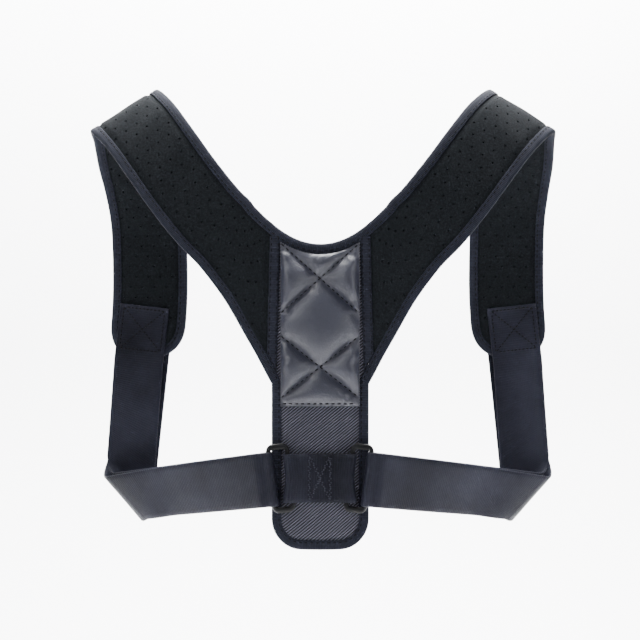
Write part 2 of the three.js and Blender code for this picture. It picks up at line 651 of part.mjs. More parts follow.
// The inner layer of the long webbing on the wearer's right, from its sewn end to the ring
function innerLayer(tipNear) {
  const lean = patchLean * degrees;
  const down = new THREE.Vector3(Math.sin(lean), 0, -Math.cos(lean));
  const forward = new THREE.Vector3(0, 1, 0);
  const tip = frontRows.at(-2).out * shoulderReach;
  const seat = tipNear - halfTape - clearance - webbingThickness / 2;
  const top = new THREE.Vector3(tip + patchOffset, seat, -patchDrop);
  const leaving = top.clone().addScaledVector(down, (bandFrontDrop - patchDrop + clearance) / Math.cos(lean));
  const turnStart = new THREE.Vector3(turnReach, turnFore, -turnDrop);
  const downFrame = frameOf(turnStart, turnStart.clone().sub(leaving), forward);

  // Round the outer bar, square to the tilted ring
  const tilt = ringTilt * degrees;
  const home = new THREE.Vector3(-Math.cos(tilt), 0, Math.sin(tilt));
  const behindBar = barFore + ringBar / 2 + clearance + webbingThickness / 2;
  const bar = new THREE.Vector3(ringPlace + Math.cos(tilt) * (outerBar - ringPlace), behindBar,
    -ringDrop - Math.sin(tilt) * (outerBar - ringPlace));
  const homeFrame = frameOf(bar, home, backward);
  const elbow = bar.clone().addScaledVector(home, -(elbowReach - outerBar));

  // The way back: it leaves the turn and meets the elbow, found by a few rounds of correction
  let wayBack = elbow.clone().sub(turnStart).normalize();
  let turning = [];
  for (let round = 0; round < 12; round++) {
    const face = acrossOf(homeFrame).cross(wayBack);
    const tilted = face.applyAxisAngle(wayBack, -backTilt * degrees);
    turning = bend(downFrame, frameOf(turnStart, wayBack, tilted).turn, turnRadius, turnSteps);
    wayBack = elbow.clone().sub(turning.at(-1).place).normalize();
  }
  const back = turning.at(-1);
  const elbowSetback = elbowRadius * wayBack.angleTo(home) / 2;
  const elbowStart = frameOf(elbow.clone().addScaledVector(wayBack, -elbowSetback), wayBack,
    acrossOf(homeFrame).cross(wayBack));
  const backFrames = Array.from({ length: backSteps }, (_, i) => {
    const share = (i + 1) / (backSteps + 1);
    return {
      place: back.place.clone().lerp(elbowStart.place, share),
      turn: back.turn.clone().slerp(elbowStart.turn, share),
      slant: back.slant * Math.max(1 - 3 * share, 0),
    };
  });
  const elbowBend = bend(elbowStart, homeFrame.turn, elbowRadius, 3);
  return {
    stages: [
      { name: 'patch', frames: [frameOf(top, down, forward), frameOf(leaving, down, forward)] },
      { name: 'turn', frames: turning },
      { name: 'back', frames: backFrames },
      { name: 'elbow', frames: elbowBend },
      { name: 'bar', frames: [homeFrame] },
    ],
    homeFrame,
  };
}

// The whole long webbing: the inner layer, round the bar, and the outer layer back to the tip
function longWebbing(side, { near, far }) {
  const { stages, homeFrame } = innerLayer(near);
  const shifted = (frame, rise, drift) => ({
    place: frame.place.clone().addScaledVector(faceOf(frame), rise).addScaledVector(acrossOf(frame), drift),
    turn: frame.turn,
    slant: frame.slant,
  });
  const inner = stages.flatMap((stage) => stage.frames);
  const barRise = ringBar + 2 * clearance + webbingThickness;
  const backRise = webbingThickness + layerGap;
  const turnRise = webbingThickness + turnGap;
  const tipRise = far - near + 2 * halfTape + 3 * clearance + hookThickness + webbingThickness;
  const byStage = {
    patch: [tipRise, -returnShift], turn: [turnRise, 0],
    back: [backRise, 0], elbow: [backRise, 0], bar: [barRise, 0],
  };
  const outer = stages.flatMap(({ name, frames }) => frames.map((frame) => shifted(frame, ...byStage[name])));
  const easing = stages.find(({ name }) => name === 'elbow').frames.at(-1);
  const barSide = easing.place.clone().lerp(homeFrame.place, barApproach);
  outer.splice(-1, 0, shifted({ place: barSide, turn: homeFrame.turn }, partedShare * barRise, 0));

  const wrapSteps = 6;
  const radius = barRise / 2;
  const centre = homeFrame.place.clone().addScaledVector(faceOf(homeFrame), radius);
  const wrap = Array.from({ length: wrapSteps - 1 }, (_, i) => {
    const angle = (i + 1) / wrapSteps * Math.PI;
    const place = centre.clone().addScaledVector(faceOf(homeFrame), -radius * Math.cos(angle))
      .addScaledVector(runOf(homeFrame), radius * Math.sin(angle));
    const spin = new THREE.Quaternion().setFromAxisAngle(acrossOf(homeFrame), angle);
    return { place, turn: homeFrame.turn.clone().premultiply(spin) };
  });
  const returning = outer.reverse().map(({ place, turn, slant = 0 }) => {
    const half = new THREE.Quaternion().setFromAxisAngle(new THREE.Vector3(0, 0, 1), Math.PI);
    return { place, turn: turn.clone().multiply(half), slant: -slant };
  });
  const halfThick = webbingThickness / 2;
  const halfWide = webbingWidth / 2;
  const rings = [...inner, ...wrap, ...returning].map((frame) => {
    const cross = acrossOf(frame).addScaledVector(runOf(frame), frame.slant ?? 0);
    return [[1, 1], [1, -1], [-1, -1], [-1, 1]].map(([rise, sway]) => frame.place.clone()
      .addScaledVector(faceOf(frame), rise * halfThick).addScaledVector(cross, sway * halfWide));
  });
  for (const p of rings.flat()) p.x *= side;
  return skin(rings);
}

// A plain patch on the far face of a tip, under the end of the returning webbing
function hookPatch(side, { far }) {
  const lean = patchLean * degrees;
  const fore = far + halfTape + clearance;
  const patch = new THREE.BoxGeometry(webbingWidth - 2 * hookInset, hookThickness, hookLength);
  patch.rotateY(-lean);
  const down = new THREE.Vector3(Math.sin(lean), 0, -Math.cos(lean));
  const top = new THREE.Vector3(frontRows.at(-2).out * shoulderReach + patchOffset, 0, -patchDrop);
  const reach = bandFrontDrop - patchDrop - hookLength / 2;
  const place = top.addScaledVector(down, reach);
  patch.translate(place.x - returnShift, fore + hookThickness / 2, place.z);
  patch.scale(side, 1, 1);
  return facingOut(welded(patch));
}

const bands = { left: bandSections(-1), right: bandSections(1) };
const sides = [['left', -1], ['right', 1]];
const tipEdges = bands.right.filter((s) => s.middle.y > 0 && s.middle.z < -patchDrop + tipLength / 3)
  .flatMap((s) => [s.neck.y, s.rim.y]);
const tipReach = { near: Math.min(...tipEdges), far: Math.max(...tipEdges) };
const panelMiddle = onPanel(0, -(neckDrop + tongueDrop) / 2);
const neckPath = squared([
  ...bandEdge(bands.left, 'neck').reverse(),
  ...panelEdge(necklinePoints(), panelMiddle),
  ...bandEdge(bands.right, 'neck'),
]);
const outerPath = squared([
  ...bandEdge(bands.left, 'rim').reverse(),
  ...panelEdge(tonguePoints(), panelMiddle),
  ...bandEdge(bands.right, 'rim'),
]);

addPiece('spine_panel', spinePanel(), 'twill');
addPiece('quilted_panel', quiltedPanel(), 'quilt');
for (const [name] of sides) addPiece(`arm_pad_${name}`, bandPad(bands[name]), 'mesh');
for (const [name, side] of sides) addPiece(`seam_tape_${name}`, seamTape(side, neckPath, outerPath), 'tape');
addPiece('neck_binding', edgeTape(neckPath), 'tape');
addPiece('outer_binding', edgeTape(outerPath), 'tape');
addPiece('keeper_webbing', keeperWebbing(), 'webbing');
for (const [name, side] of sides) addPiece(`ring_${name}`, ring(side), 'plastic');
for (const [name, side] of sides) addPiece(`strap_${name}`, longWebbing(side, tipReach), 'webbing');
for (const [name, side] of sides) addPiece(`hook_patch_${name}`, hookPatch(side, tipReach), 'hook');

export default group;
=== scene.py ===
import math
import bpy
import numpy as np
from mathutils import Matrix, Quaternion, Vector


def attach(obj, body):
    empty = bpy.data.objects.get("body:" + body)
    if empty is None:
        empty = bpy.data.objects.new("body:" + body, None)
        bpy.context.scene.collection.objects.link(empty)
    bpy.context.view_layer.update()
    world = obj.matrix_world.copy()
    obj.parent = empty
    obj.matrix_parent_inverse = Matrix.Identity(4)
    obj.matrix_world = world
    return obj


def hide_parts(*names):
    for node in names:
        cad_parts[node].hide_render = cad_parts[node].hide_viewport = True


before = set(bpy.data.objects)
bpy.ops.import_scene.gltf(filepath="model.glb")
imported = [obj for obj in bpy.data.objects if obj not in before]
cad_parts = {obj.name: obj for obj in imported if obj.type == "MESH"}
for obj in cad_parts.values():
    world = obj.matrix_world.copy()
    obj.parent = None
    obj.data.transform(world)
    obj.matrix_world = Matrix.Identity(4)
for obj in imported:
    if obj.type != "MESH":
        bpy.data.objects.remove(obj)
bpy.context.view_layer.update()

# Sizes of the worn shape in millimetres, with angles, and shares of the size that each is used with
SHOULDER_REACH = 151
BACK_SETBACK = 40
FRONT_REACH = 80
BAND_BACK_DROP = 206
BAND_FRONT_DROP = 190
BAND_WIDTH = 60.4
PANEL_WIDTH = 71.6
PAD_THICKNESS = 4.6
PAD_CROWN = 0.5
PAD_FOLD = 0.45
SEAM_SHELF = 8
SEAM_RISE = 7
HEM_THICKNESS = 2.4
HEM_SLOPE = 3.6
TIP_LENGTH = 30
TIP_ROUNDNESS = 2.5
NECK_DROP = 99.8
NECK_SAG = 15.5
NECK_TAPE_REACH = 0.86
SEAM_HALF_TOP = 33.2
SEAM_FOOT_DROP = 203
FOOT_BLEND = 14
FOOT_EASE = 9
TONGUE_DROP = 323.5
TONGUE_CORNER = 21
TONGUE_SAG = 1.8
CLEARANCE = 0.3
TAPE_THICKNESS = 0.9
EDGE_TAPE_WIDTH = 7.2
EDGE_TAPE_SEAM = 1.8
SEAM_TAPE_WIDTH = 7.6
SEAM_TAPE_LEAST = 0.6
SEAM_TAPE_STOP = 9
QUILT_FOOT = 219.6
QUILT_BASE = 1.0
QUILT_PUFF = 8.4
CREASE_REACH = 6.2
SIDE_REACH = 3.2
END_REACH = 6.5
GATHER = 0.16
PUCKER = 0.55
HEM_WAVE = 0.2
BROAD_WAVE = 0.5
FOOT_SEAM = 2.2
WEBBING_WIDTH = 40
WEBBING_THICKNESS = 1.4
FLAT_SHARE = 0.955
CUP = 0.12
WAVER = 0.22
WAVER_EASE = 40
RING_LENGTH = 330
KEEPER_WIDTH = 35.8
KEEPER_THICKNESS = 1.5
KEEPER_FLAT = 0.42
KEEPER_LOOP = 0.68
KEEPER_SKIN = 0.94
RING_HEIGHT = 48.8
RING_SPAN = 17.4
RING_BAR = 3.4
RING_CORNER = 3.4
BAR_SQUARENESS = 0.8
RING_END_SWELL = 1.1
RING_TILT = math.radians(7)
RING_DROP = 271.8
RING_PLACE = 28.6
RING_LIFT = 0.6
HOOK_THICKNESS = 1.6
HOOK_LENGTH = 42
PATCH_DROP = 144.5
PATCH_LEAN = math.radians(6.5)
PATCH_OFFSET = 3.6
PATCH_MARGIN = 1.5
PATCH_RISE = 9
SEWN_BOX = (16.6, 2.6, 36.0)
TURN_REACH = 160.8
TURN_DROP = 282
TURN_FORE = 75
TURN_RADIUS = 9
BACK_TILT = math.radians(15)
ELBOW_REACH = 43.5
ELBOW_RADIUS = 8
LAYER_GAP = 0.7
TURN_GAP = 4.6
BAR_APPROACH = 0.6
PARTED_SHARE = 0.8
RETURN_SHIFT = 3
HOLE_ROW = 8.4
HOLE_RADIUS = 0.85
HOLE_WALL = ((1.0, 0.0), (0.8, 0.35), (0.7, 1.6))
HOLES_FROM_SEAM = 14
HOLES_INTO_TIP = 0.55
LEAST_SINE = 0.3
LEAST_SLANT = 0.04
STITCH_LENGTH = 2.7
STITCH_GAP = 1.5
# place along a stitch, with its thickness and its depth there as shares of the thread's thickness
STITCH_SHAPE = ((0, 0.35, 1.1), (0.2, 0.9, 0.15), (0.5, 1, 0), (0.8, 0.9, 0.15), (1, 0.35, 1.1))
ZIGZAG = 0.9

# Sizes in metres: where the camera stands, and its lens in millimetres
CAMERA_SIDE = 0.060
CAMERA_BACK = 1.144
CAMERA_RANGE = 1.1
CAMERA_HEIGHT = -0.1559
CAMERA_LENS = 84.3
CAMERA_SENSOR = 36
LIT_PLACE = (0, 0, -0.15)

# out, back, drop, slope, turn, wide: shares of the sizes above, slope and turn in degrees
BACK_ROWS = [
    (0.312, 1.000, 0.625, 84.5, 0, 1.590), (0.396, 1.000, 0.529, 71.5, 0, 1.185),
    (0.467, 0.995, 0.460, 54.0, 0, 1.020), (0.545, 0.985, 0.402, 41.0, 0, 1.000),
    (0.673, 0.940, 0.286, 38.5, 0, 1.000), (0.794, 0.790, 0.165, 37.5, 0, 1.000),
    (0.901, 0.500, 0.064, 36.5, -3, 1.000),
]
RIDGE_ROW = (1.0, 0.0, 0.0, 34.0, -10, 1.000)
FRONT_ROWS = [
    (1.007, 0.265, 0.042, 29.5, -12, 1.000), (1.003, 0.540, 0.145, 22.0, -10, 1.000),
    (0.983, 0.760, 0.265, 14.0, -6, 1.000), (0.966, 0.910, 0.405, 5.0, -3, 1.000),
    (0.962, 0.980, 0.560, 0.5, -1, 1.005), (0.964, 1.000, 0.755, 0.0, 0, 1.010),
    (0.987, 1.000, 1.000, 0.0, 0, 1.010),
]
# middle and half rise of each stitched cross, as shares of the cover's height
QUILT_CROSSES = [(0.160, 0.230), (0.740, 0.205)]

HALF_PAD = PAD_THICKNESS / 2
HALF_HEM = HEM_THICKNESS / 2
HALF_TAPE = HALF_HEM + CLEARANCE + TAPE_THICKNESS
EDGE_INSET = TAPE_THICKNESS + CLEARANCE
HEM_MARGIN = EDGE_TAPE_WIDTH + CLEARANCE
BACK_PLANE = -BACK_SETBACK
BACK_FACE = BACK_PLANE - HALF_PAD
QUILT_HALF = SEAM_HALF_TOP - SEAM_TAPE_WIDTH / 2 - CLEARANCE
KEEPER_SEAT = BACK_FACE - CLEARANCE
BAR_FORE = KEEPER_SEAT - KEEPER_THICKNESS - RING_LIFT / 2 - CLEARANCE / 2 - RING_BAR / 2
INNER_BAR = RING_PLACE - RING_SPAN / 2 + RING_BAR / 2
OUTER_BAR = RING_PLACE + RING_SPAN / 2 - RING_BAR / 2
BACKWARD = Vector((0, -1, 0))


class Value:
    """A socket of a material: sums written with it add Math nodes."""

    def __init__(self, material, socket):
        self.material = material
        self.socket = socket

    def _math(self, operation, first, second=0.0):
        node = self.material.node("ShaderNodeMath", {0: first, 1: second}, operation=operation)
        return Value(self.material, node.outputs[0])

    def __add__(self, other):
        return self._math("ADD", self, other)

    def __radd__(self, other):
        return self._math("ADD", other, self)

    def __sub__(self, other):
        return self._math("SUBTRACT", self, other)

    def __rsub__(self, other):
        return self._math("SUBTRACT", other, self)

    def __mul__(self, other):
        return self._math("MULTIPLY", self, other)

    def __rmul__(self, other):
        return self._math("MULTIPLY", other, self)

    def wave(self):
        return self._math("SINE", self)

    def power(self, exponent):
        return self._math("POWER", self, exponent)


class Finish:
    """A material, its shader and the cloth's own coordinates in millimetres."""

    def __init__(self, name, roughness, **sockets):
        self.material = bpy.data.materials.new(name)
        self.material.use_nodes = True
        self.tree = self.material.node_tree
        self.shader = self.tree.nodes["Principled BSDF"]
        self.shader.inputs["Roughness"].default_value = roughness
        for socket, value in sockets.items():
            self.shader.inputs[socket.replace("_", " ")].default_value = value

    def node(self, kind, inputs=None, **settings):
        """Adds a node, with its settings first and then the values or links of its sockets."""
        node = self.tree.nodes.new(kind)
        for key, value in settings.items():
            setattr(node, key, value)
        for key, value in (inputs or {}).items():
            if isinstance(value, Value):
                self.tree.links.new(value.socket, node.inputs[key])
            else:
                node.inputs[key].default_value = value
        return node

    def cloth(self):
        """Places across and along the cloth, in millimetres."""
        place = self.node("ShaderNodeUVMap", uv_map="cloth")
        split = self.node("ShaderNodeSeparateXYZ", {0: Value(self, place.outputs[0])})
        return Value(self, split.outputs[0]) * 1000, Value(self, split.outputs[1]) * 1000

    def noise(self, scale, detail=3.0):
        place = self.node("ShaderNodeTexCoord")
        node = self.node("ShaderNodeTexNoise", {"Vector": Value(self, place.outputs["Object"]),
                                                "Scale": scale, "Detail": detail})
        return Value(self, node.outputs[0])

    def blend(self, share, dark, light):
        """Colours the surface between dark and light, by a share that changes over it."""
        node = self.node("ShaderNodeMix", {0: share, 6: (*dark, 1), 7: (*light, 1)}, data_type="RGBA")
        self.tree.links.new(node.outputs[2], self.shader.inputs["Base Color"])
        return self

    def relief(self, height, distance, strength=1.0):
        sockets = {"Height": height, "Distance": distance, "Strength": strength}
        bump = self.node("ShaderNodeBump", sockets)
        self.tree.links.new(bump.outputs[0], self.shader.inputs["Normal"])
        return self


def perforated_finish():
    finish = Finish("perforated fabric", 0.9, Specular_IOR_Level=0.04)
    nap = finish.noise(700, 4)
    fleck = finish.noise(2600, 2)
    speck = (nap * 0.55 + fleck * 0.55).power(2.2)
    finish.blend(speck, (0.0001, 0.0002, 0.0003), (0.0150, 0.0180, 0.0215))
    return finish.relief(fleck + nap, 0.0006, 0.6)


def twill_finish():
    finish = Finish("twill", 0.6, Specular_IOR_Level=0.14)
    across, along = finish.cloth()
    rib = ((along - across * 0.8) * 2.8).wave() * 0.5 + 0.5
    thread = ((along + across * 1.2) * 4.4).wave() * 0.22 + 0.78
    rib = (rib * thread).power(1.7)
    finish.blend(rib, (0.0003, 0.0003, 0.0006), (0.085, 0.086, 0.118))
    return finish.relief(rib, 0.0005, 0.9)


def quilted_finish():
    finish = Finish("quilted imitation leather", 0.38, Specular_IOR_Level=0.34)
    grain = finish.noise(1100, 3)
    cloud = finish.noise(22, 2)
    tone = cloud * 0.7 + grain * 0.3
    finish.blend(tone, (0.0058, 0.0062, 0.0105), (0.018, 0.019, 0.029))
    return finish.relief(grain + cloud * 3, 0.0004, 0.7)


def ribbed_finish(name, dark, light):
    finish = Finish(name, 0.75, Specular_IOR_Level=0.05)
    across, along = finish.cloth()
    rib = (along * 5.2).wave() * 0.5 + 0.5
    line = (across * 6.0).wave() * 0.2 + 0.8
    worn = finish.noise(160, 3)
    finish.blend(rib * line * 0.5 + worn * 0.5, dark, light)
    return finish.relief(rib * line + worn * 0.5, 0.00035, 0.8)


def webbing_finish():
    finish = Finish("woven webbing", 0.42, Specular_IOR_Level=0.04)
    across, along = finish.cloth()
    warp = (across * 4.6).wave()
    weft = (along * 3.4 + warp * 1.2).wave()
    weave = warp * weft * 0.5 + 0.5
    worn = finish.noise(420, 3)
    # The two broad noises paint sheen and fold shade into the webbing's colour: lighter and darker patches
    # where curved webbing would catch or lose the light. The streak noise is also the webbing's own uneven
    # tone.
    streak_and_sheen = finish.noise(26, 2)
    painted_sheen = finish.noise(14, 1)
    tone = weave * 0.25 + worn * 0.25 + (streak_and_sheen - 0.5) * 0.9 + (painted_sheen - 0.5) + 0.26
    finish.blend(tone, (0.0012, 0.0014, 0.0026), (0.0152, 0.0160, 0.0245))
    return finish.relief(weave + worn * 0.6, 0.0003, 0.7)


def thread_finish(name, dark, light):
    finish = Finish(name, 0.7, Specular_IOR_Level=0.06)
    return finish.blend(finish.noise(1800, 2), dark, light)


def hook_finish():
    finish = Finish("hook tape", 0.9, Specular_IOR_Level=0.08)
    loops = finish.noise(1500, 3)
    finish.blend(loops, (0.001, 0.001, 0.0012), (0.006, 0.006, 0.007))
    return finish.relief(loops, 0.0006)


def plastic_finish():
    finish = Finish("moulded plastic", 0.45, Specular_IOR_Level=0.12)
    grain = finish.noise(900, 3)
    finish.blend(grain, (0.0008, 0.0009, 0.0012), (0.0024, 0.0026, 0.0034))
    return finish.relief(grain, 0.00015, 0.5)


FINISHES = {
    "perforated": perforated_finish(),
    "twill": twill_finish(),
    "quilted": quilted_finish(),
    "tape": ribbed_finish("edge tape", (0.0022, 0.0025, 0.0042), (0.0145, 0.0160, 0.0245)),
    "webbing": webbing_finish(),
    "hook": hook_finish(),
    "plastic": plastic_finish(),
    "thread": thread_finish("thread", (0.0002, 0.0002, 0.0004), (0.0018, 0.0018, 0.0028)),
    # The keeper's thread is dark; its pale colour here paints the highlight that falls on the raised
    # stitched webbing.
    "thread with painted highlight": thread_finish("thread with painted highlight", (0.010, 0.0105, 0.015), (0.030, 0.031, 0.042)),
}


class Fabric:
    """Collects points, cloth coordinates and faces of one piece."""

    def __init__(self):
        self.points = []
        self.cloth = []
        self.faces = []

    def add(self, point, cloth=(0, 0)):
        self.points.append(tuple(point))
        self.cloth.append(cloth)
        return len(self.points) - 1

    def face(self, *corners):
        self.faces.append(corners)

    def grid(self, rows, closed_rows=False, closed_columns=False):
        """Faces between rows of point numbers."""
        last = len(rows) if closed_rows else len(rows) - 1
        for i in range(last):
            a, b = rows[i], rows[(i + 1) % len(rows)]
            for j in range(len(a) if closed_columns else len(a) - 1):
                k = (j + 1) % len(a)
                self.face(a[j], a[k], b[k], b[j])

    def tube(self, rows):
        """A closed skin round rows of point numbers, with both ends shut."""
        self.grid(rows, closed_columns=True)
        self.face(*rows[0])
        self.face(*reversed(rows[-1]))

    def piece(self, name, slot, nodes, finish=None):
        """Makes the Blender object, rides it on the root and hides the model's parts that it stands for."""
        name = "soft_" + name
        mesh = bpy.data.meshes.new(name)
        mesh.from_pydata([tuple(c / 1000 for c in p) for p in self.points], [], self.faces)
        layer = mesh.uv_layers.new(name="cloth")
        corners = np.empty(len(mesh.loops), dtype=np.int32)
        mesh.loops.foreach_get("vertex_index", corners)
        cloth = np.array(self.cloth, dtype=np.float32)[corners] / 1000
        layer.uv.foreach_set("vector", cloth.ravel())
        mesh.validate()
        mesh.polygons.foreach_set("use_smooth", [True] * len(mesh.polygons))
        mesh.materials.append(FINISHES[finish or slot].material)
        made = bpy.data.objects.new(name, mesh)
        bpy.context.scene.collection.objects.link(made)
        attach(made, "root")
        if nodes:
            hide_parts(*nodes)
        return made


def clamp(share):
    return min(max(share, 0), 1)


def smooth_line(points):
    """A centripetal curve through points of any dimension, for 0 to 1 along them."""
    rows = np.array(points, dtype=float)
    count = len(rows)

    def at(t):
        share = clamp(t) * (count - 1)
        i = min(int(share), count - 2)
        w = share - i
        before = rows[i - 1] if i > 0 else 2 * rows[0] - rows[1]
        after = rows[i + 2] if i + 2 < count else 2 * rows[-1] - rows[-2]
        x0, x1, x2, x3 = before, rows[i], rows[i + 1], after
        legs = ((x0, x1), (x1, x2), (x2, x3))
        d0, d1, d2 = (max(np.sum((q - p) ** 2), 1e-9) ** 0.25 for p, q in legs)
        t1 = ((x1 - x0) / d0 - (x2 - x0) / (d0 + d1) + (x2 - x1) / d1) * d1
        t2 = ((x2 - x1) / d1 - (x3 - x1) / (d1 + d2) + (x3 - x2) / d2) * d1
        c2 = -3 * x1 + 3 * x2 - 2 * t1 - t2
        c3 = 2 * x1 - 2 * x2 + t1 + t2
        return x1 + w * (t1 + w * (c2 + w * c3))

    return at


def neck_height(x):
    """Height of the neckline's edge at x."""
    return -NECK_DROP + NECK_SAG * (2 * x / PANEL_WIDTH) ** 2


class Section:
    """One cross section of a band: its place along the band, its width, edges and directions."""


def band_sections(side, step):
    """Sections of one band's middle surface, about step mm apart, from the seam to the tip."""
    ridge_height = HALF_PAD / math.cos(math.radians(RIDGE_ROW[3]))
    seam_x = SEAM_HALF_TOP + CLEARANCE / 2
    seam_top = np.array((seam_x, BACK_PLANE, neck_height(seam_x)))
    seam_foot = np.array((PANEL_WIDTH / 2, BACK_PLANE, -SEAM_FOOT_DROP))
    seam = seam_foot - seam_top
    rows = [(*((seam_top + seam_foot) / 2), math.degrees(math.atan2(-seam[2], seam[0])), 0,
             float(np.linalg.norm(seam)))]
    for table, setback, drop in ((BACK_ROWS, -BACK_SETBACK, BAND_BACK_DROP), ([RIDGE_ROW], 0, 0),
                                 (FRONT_ROWS, FRONT_REACH, BAND_FRONT_DROP)):
        rows += [(out * SHOULDER_REACH, back * setback, ridge_height - fall * drop, slope, turn,
                  wide * BAND_WIDTH) for out, back, fall, slope, turn, wide in table]
    middle_line = smooth_line([row[:3] for row in rows])
    spread_line = smooth_line([row[3:] for row in rows])
    times = np.linspace(0, 1, 1500)
    places = np.array([middle_line(t) for t in times])
    lengths = np.concatenate(([0], np.cumsum(np.linalg.norm(np.diff(places, axis=0), axis=1))))
    total = lengths[-1]
    sections = []

    def add(length, narrowing, in_tip):
        t = float(np.interp(length, lengths, times))
        s = Section()
        s.length, s.in_tip, s.total = length, in_tip, total
        s.middle = Vector(middle_line(t))
        s.along = Vector(middle_line(min(t + 1e-3, 1)) - middle_line(max(t - 1e-3, 0))).normalized()
        slope, turn, wide = spread_line(t)
        slope, turn = math.radians(slope), math.radians(turn)
        level = math.cos(turn)
        s.outwards = Vector((math.cos(slope) * level, math.sin(turn), -math.sin(slope) * level))
        s.width = wide * narrowing
        for v in (s.middle, s.along, s.outwards):
            v.x *= side
        s.neck = s.middle - s.outwards * (s.width / 2)
        s.rim = s.middle + s.outwards * (s.width / 2)
        sections.append(s)

    straight = total - TIP_LENGTH
    count = max(int(straight / step), 8)
    for i in range(count):
        add(straight * i / count, 1, False)
    tip_steps = 18
    for i in range(tip_steps + 1):
        angle = i / tip_steps * math.pi / 2
        reach = math.sin(angle) ** (2 / TIP_ROUNDNESS)
        narrowing = 0 if i == tip_steps else math.cos(angle) ** (2 / TIP_ROUNDNESS)
        add(straight + reach * TIP_LENGTH, narrowing, True)
    for edge in ("neck", "rim"):
        for i, s in enumerate(sections):
            before = getattr(sections[max(i - 1, 0)], edge)
            after = getattr(sections[min(i + 1, len(sections) - 1)], edge)
            edge_run = (after - before).normalized()
            run = s.along if s.in_tip else edge_run
            outer = run.cross(s.outwards).normalized() * -side
            inwards = edge_run.cross(outer).normalized()
            to_middle = s.outwards if edge == "neck" else -s.outwards
            if s is sections[-1]:
                inwards = -s.along
            elif inwards.dot(to_middle) < 0:
                inwards = -inwards
            along = inwards if s.in_tip else to_middle / max(inwards.dot(to_middle), LEAST_SINE)
            setattr(s, edge + "_outer", outer)
            setattr(s, edge + "_in", inwards)
            setattr(s, edge + "_along", along)
    return sections


def soft_step(x):
    """Rises smoothly from 0 to 1."""
    x = clamp(x)
    return x * x * (3 - 2 * x)


def punched(fabric, corners, normal):
    """One cell of a face with a hole in it: eight-sided, with a wall that narrows and a floor."""
    centre = sum((Vector(fabric.points[c]) for c in corners), Vector()) / 4
    near, sideways, _, onwards = (Vector(fabric.points[c]) for c in corners)
    right = (sideways - near).normalized()
    forth = normal.cross(right)
    if (onwards - near).dot(forth) <= 0:
        forth = -forth
    cloth = fabric.cloth[corners[0]]
    rims = []
    for share, depth in HOLE_WALL:
        radius = HOLE_RADIUS * share
        rims.append([fabric.add(centre + right * (radius * math.cos(a)) + forth * (radius * math.sin(a))
                                - normal * depth, cloth)
                     for a in (math.radians(-112.5 + 45 * k) for k in range(8))])
    first = rims[0]
    for k in range(4):
        following = corners[(k + 1) % 4]
        fabric.face(corners[k], following, first[2 * k + 1], first[2 * k])
        fabric.face(following, first[(2 * k + 2) % 8], first[2 * k + 1])
    for a, b in zip(rims, rims[1:]):
        for k in range(8):
            fabric.face(a[k], a[(k + 1) % 8], b[(k + 1) % 8], b[k])
    fabric.face(*rims[-1])


def arm_pad(side, name):
    """A padded band with punched holes: two faces joined at their thin hems."""
    sections = band_sections(side, HOLE_ROW / 4)
    columns = 24
    fabric = Fabric()

    def at(s, share, sign):
        neck = s.neck + s.neck_along * EDGE_INSET
        rim = s.rim + s.rim_along * EDGE_INSET
        outer = (s.neck_outer * (1 - share) + s.rim_outer * share).normalized()
        width = (rim - neck).length
        inset = EDGE_INSET + min(share, 1 - share) * width
        beside_seam = soft_step((s.length - SEAM_SHELF) / SEAM_RISE)
        rise = soft_step((inset - HEM_MARGIN) / HEM_SLOPE) * beside_seam
        crown = math.sin(math.pi * share) * PAD_CROWN * beside_seam
        fold = math.sin(s.length * 0.16 + 5 * share) * math.sin(s.length * 0.043 + 2 * side + 3 * share)
        height = HALF_HEM + (HALF_PAD - HALF_HEM + crown + PAD_FOLD * fold) * rise
        point = neck.lerp(rim, share) + outer * (sign * height)
        return point, (share * width, s.length), outer * sign

    def is_holed(i, j):
        """Every fourth cell of every fourth row, each row shifted by half a step from the last."""
        stagger = i // 4 % 2 * 2
        in_field = HOLES_FROM_SEAM < sections[i].length < sections[i].total - TIP_LENGTH * HOLES_INTO_TIP
        return i % 4 == 2 and j % 4 == stagger and 4 <= j <= columns - 4 and in_field

    faces = []
    for sign in (1, -1):
        rows = [[fabric.add(*at(s, j / columns, sign)[:2]) for j in range(columns + 1)] for s in sections]
        faces.append(rows)
        for i in range(len(sections) - 1):
            for j in range(columns):
                corners = (rows[i][j], rows[i][j + 1], rows[i + 1][j + 1], rows[i + 1][j])
                if is_holed(i, j):
                    punched(fabric, corners, at(sections[i], (j + 0.5) / columns, sign)[2])
                else:
                    fabric.face(*corners)
    front, back = faces
    for edge in (0, columns):
        fabric.grid([[row[edge] for row in front], [row[edge] for row in back]])
    fabric.grid([front[0], back[0]])
    pad = fabric.piece(name, "perforated", [name])
    return sections


def squared(path):
    """The way in from an edge at each point of a path, square to the path."""
    made = [path[0]]
    for i in range(1, len(path) - 1):
        point, inwards, outer = path[i]
        run = path[i + 1][0] - path[i - 1][0]
        across = run.cross(outer).normalized()
        made.append((point, across if across.dot(inwards) > 0 else -across, outer))
    return made + [path[-1]]


def band_edge(sections, edge):
    """Points of a band's edge from the seam to the tip, each with its ways in and out."""
    path = [(getattr(s, edge), getattr(s, edge + "_in"), getattr(s, edge + "_outer")) for s in sections]
    stop = sections[-1].outwards * ((-1 if edge == "neck" else 1) * CLEARANCE / 2)
    path[-1] = (path[-1][0] + stop, *path[-1][1:])
    return path


def panel_edge(points):
    """Points of the panel's edge, each with its ways in and out."""
    centre = Vector((0, BACK_PLANE, -(NECK_DROP + TONGUE_DROP) / 2))
    path = []
    for i, point in enumerate(points):
        run = points[min(i + 1, len(points) - 1)] - points[max(i - 1, 0)]
        inwards = run.cross(BACKWARD).normalized()
        path.append((point, inwards if inwards.dot(centre - point) > 0 else -inwards, BACKWARD))
    return path


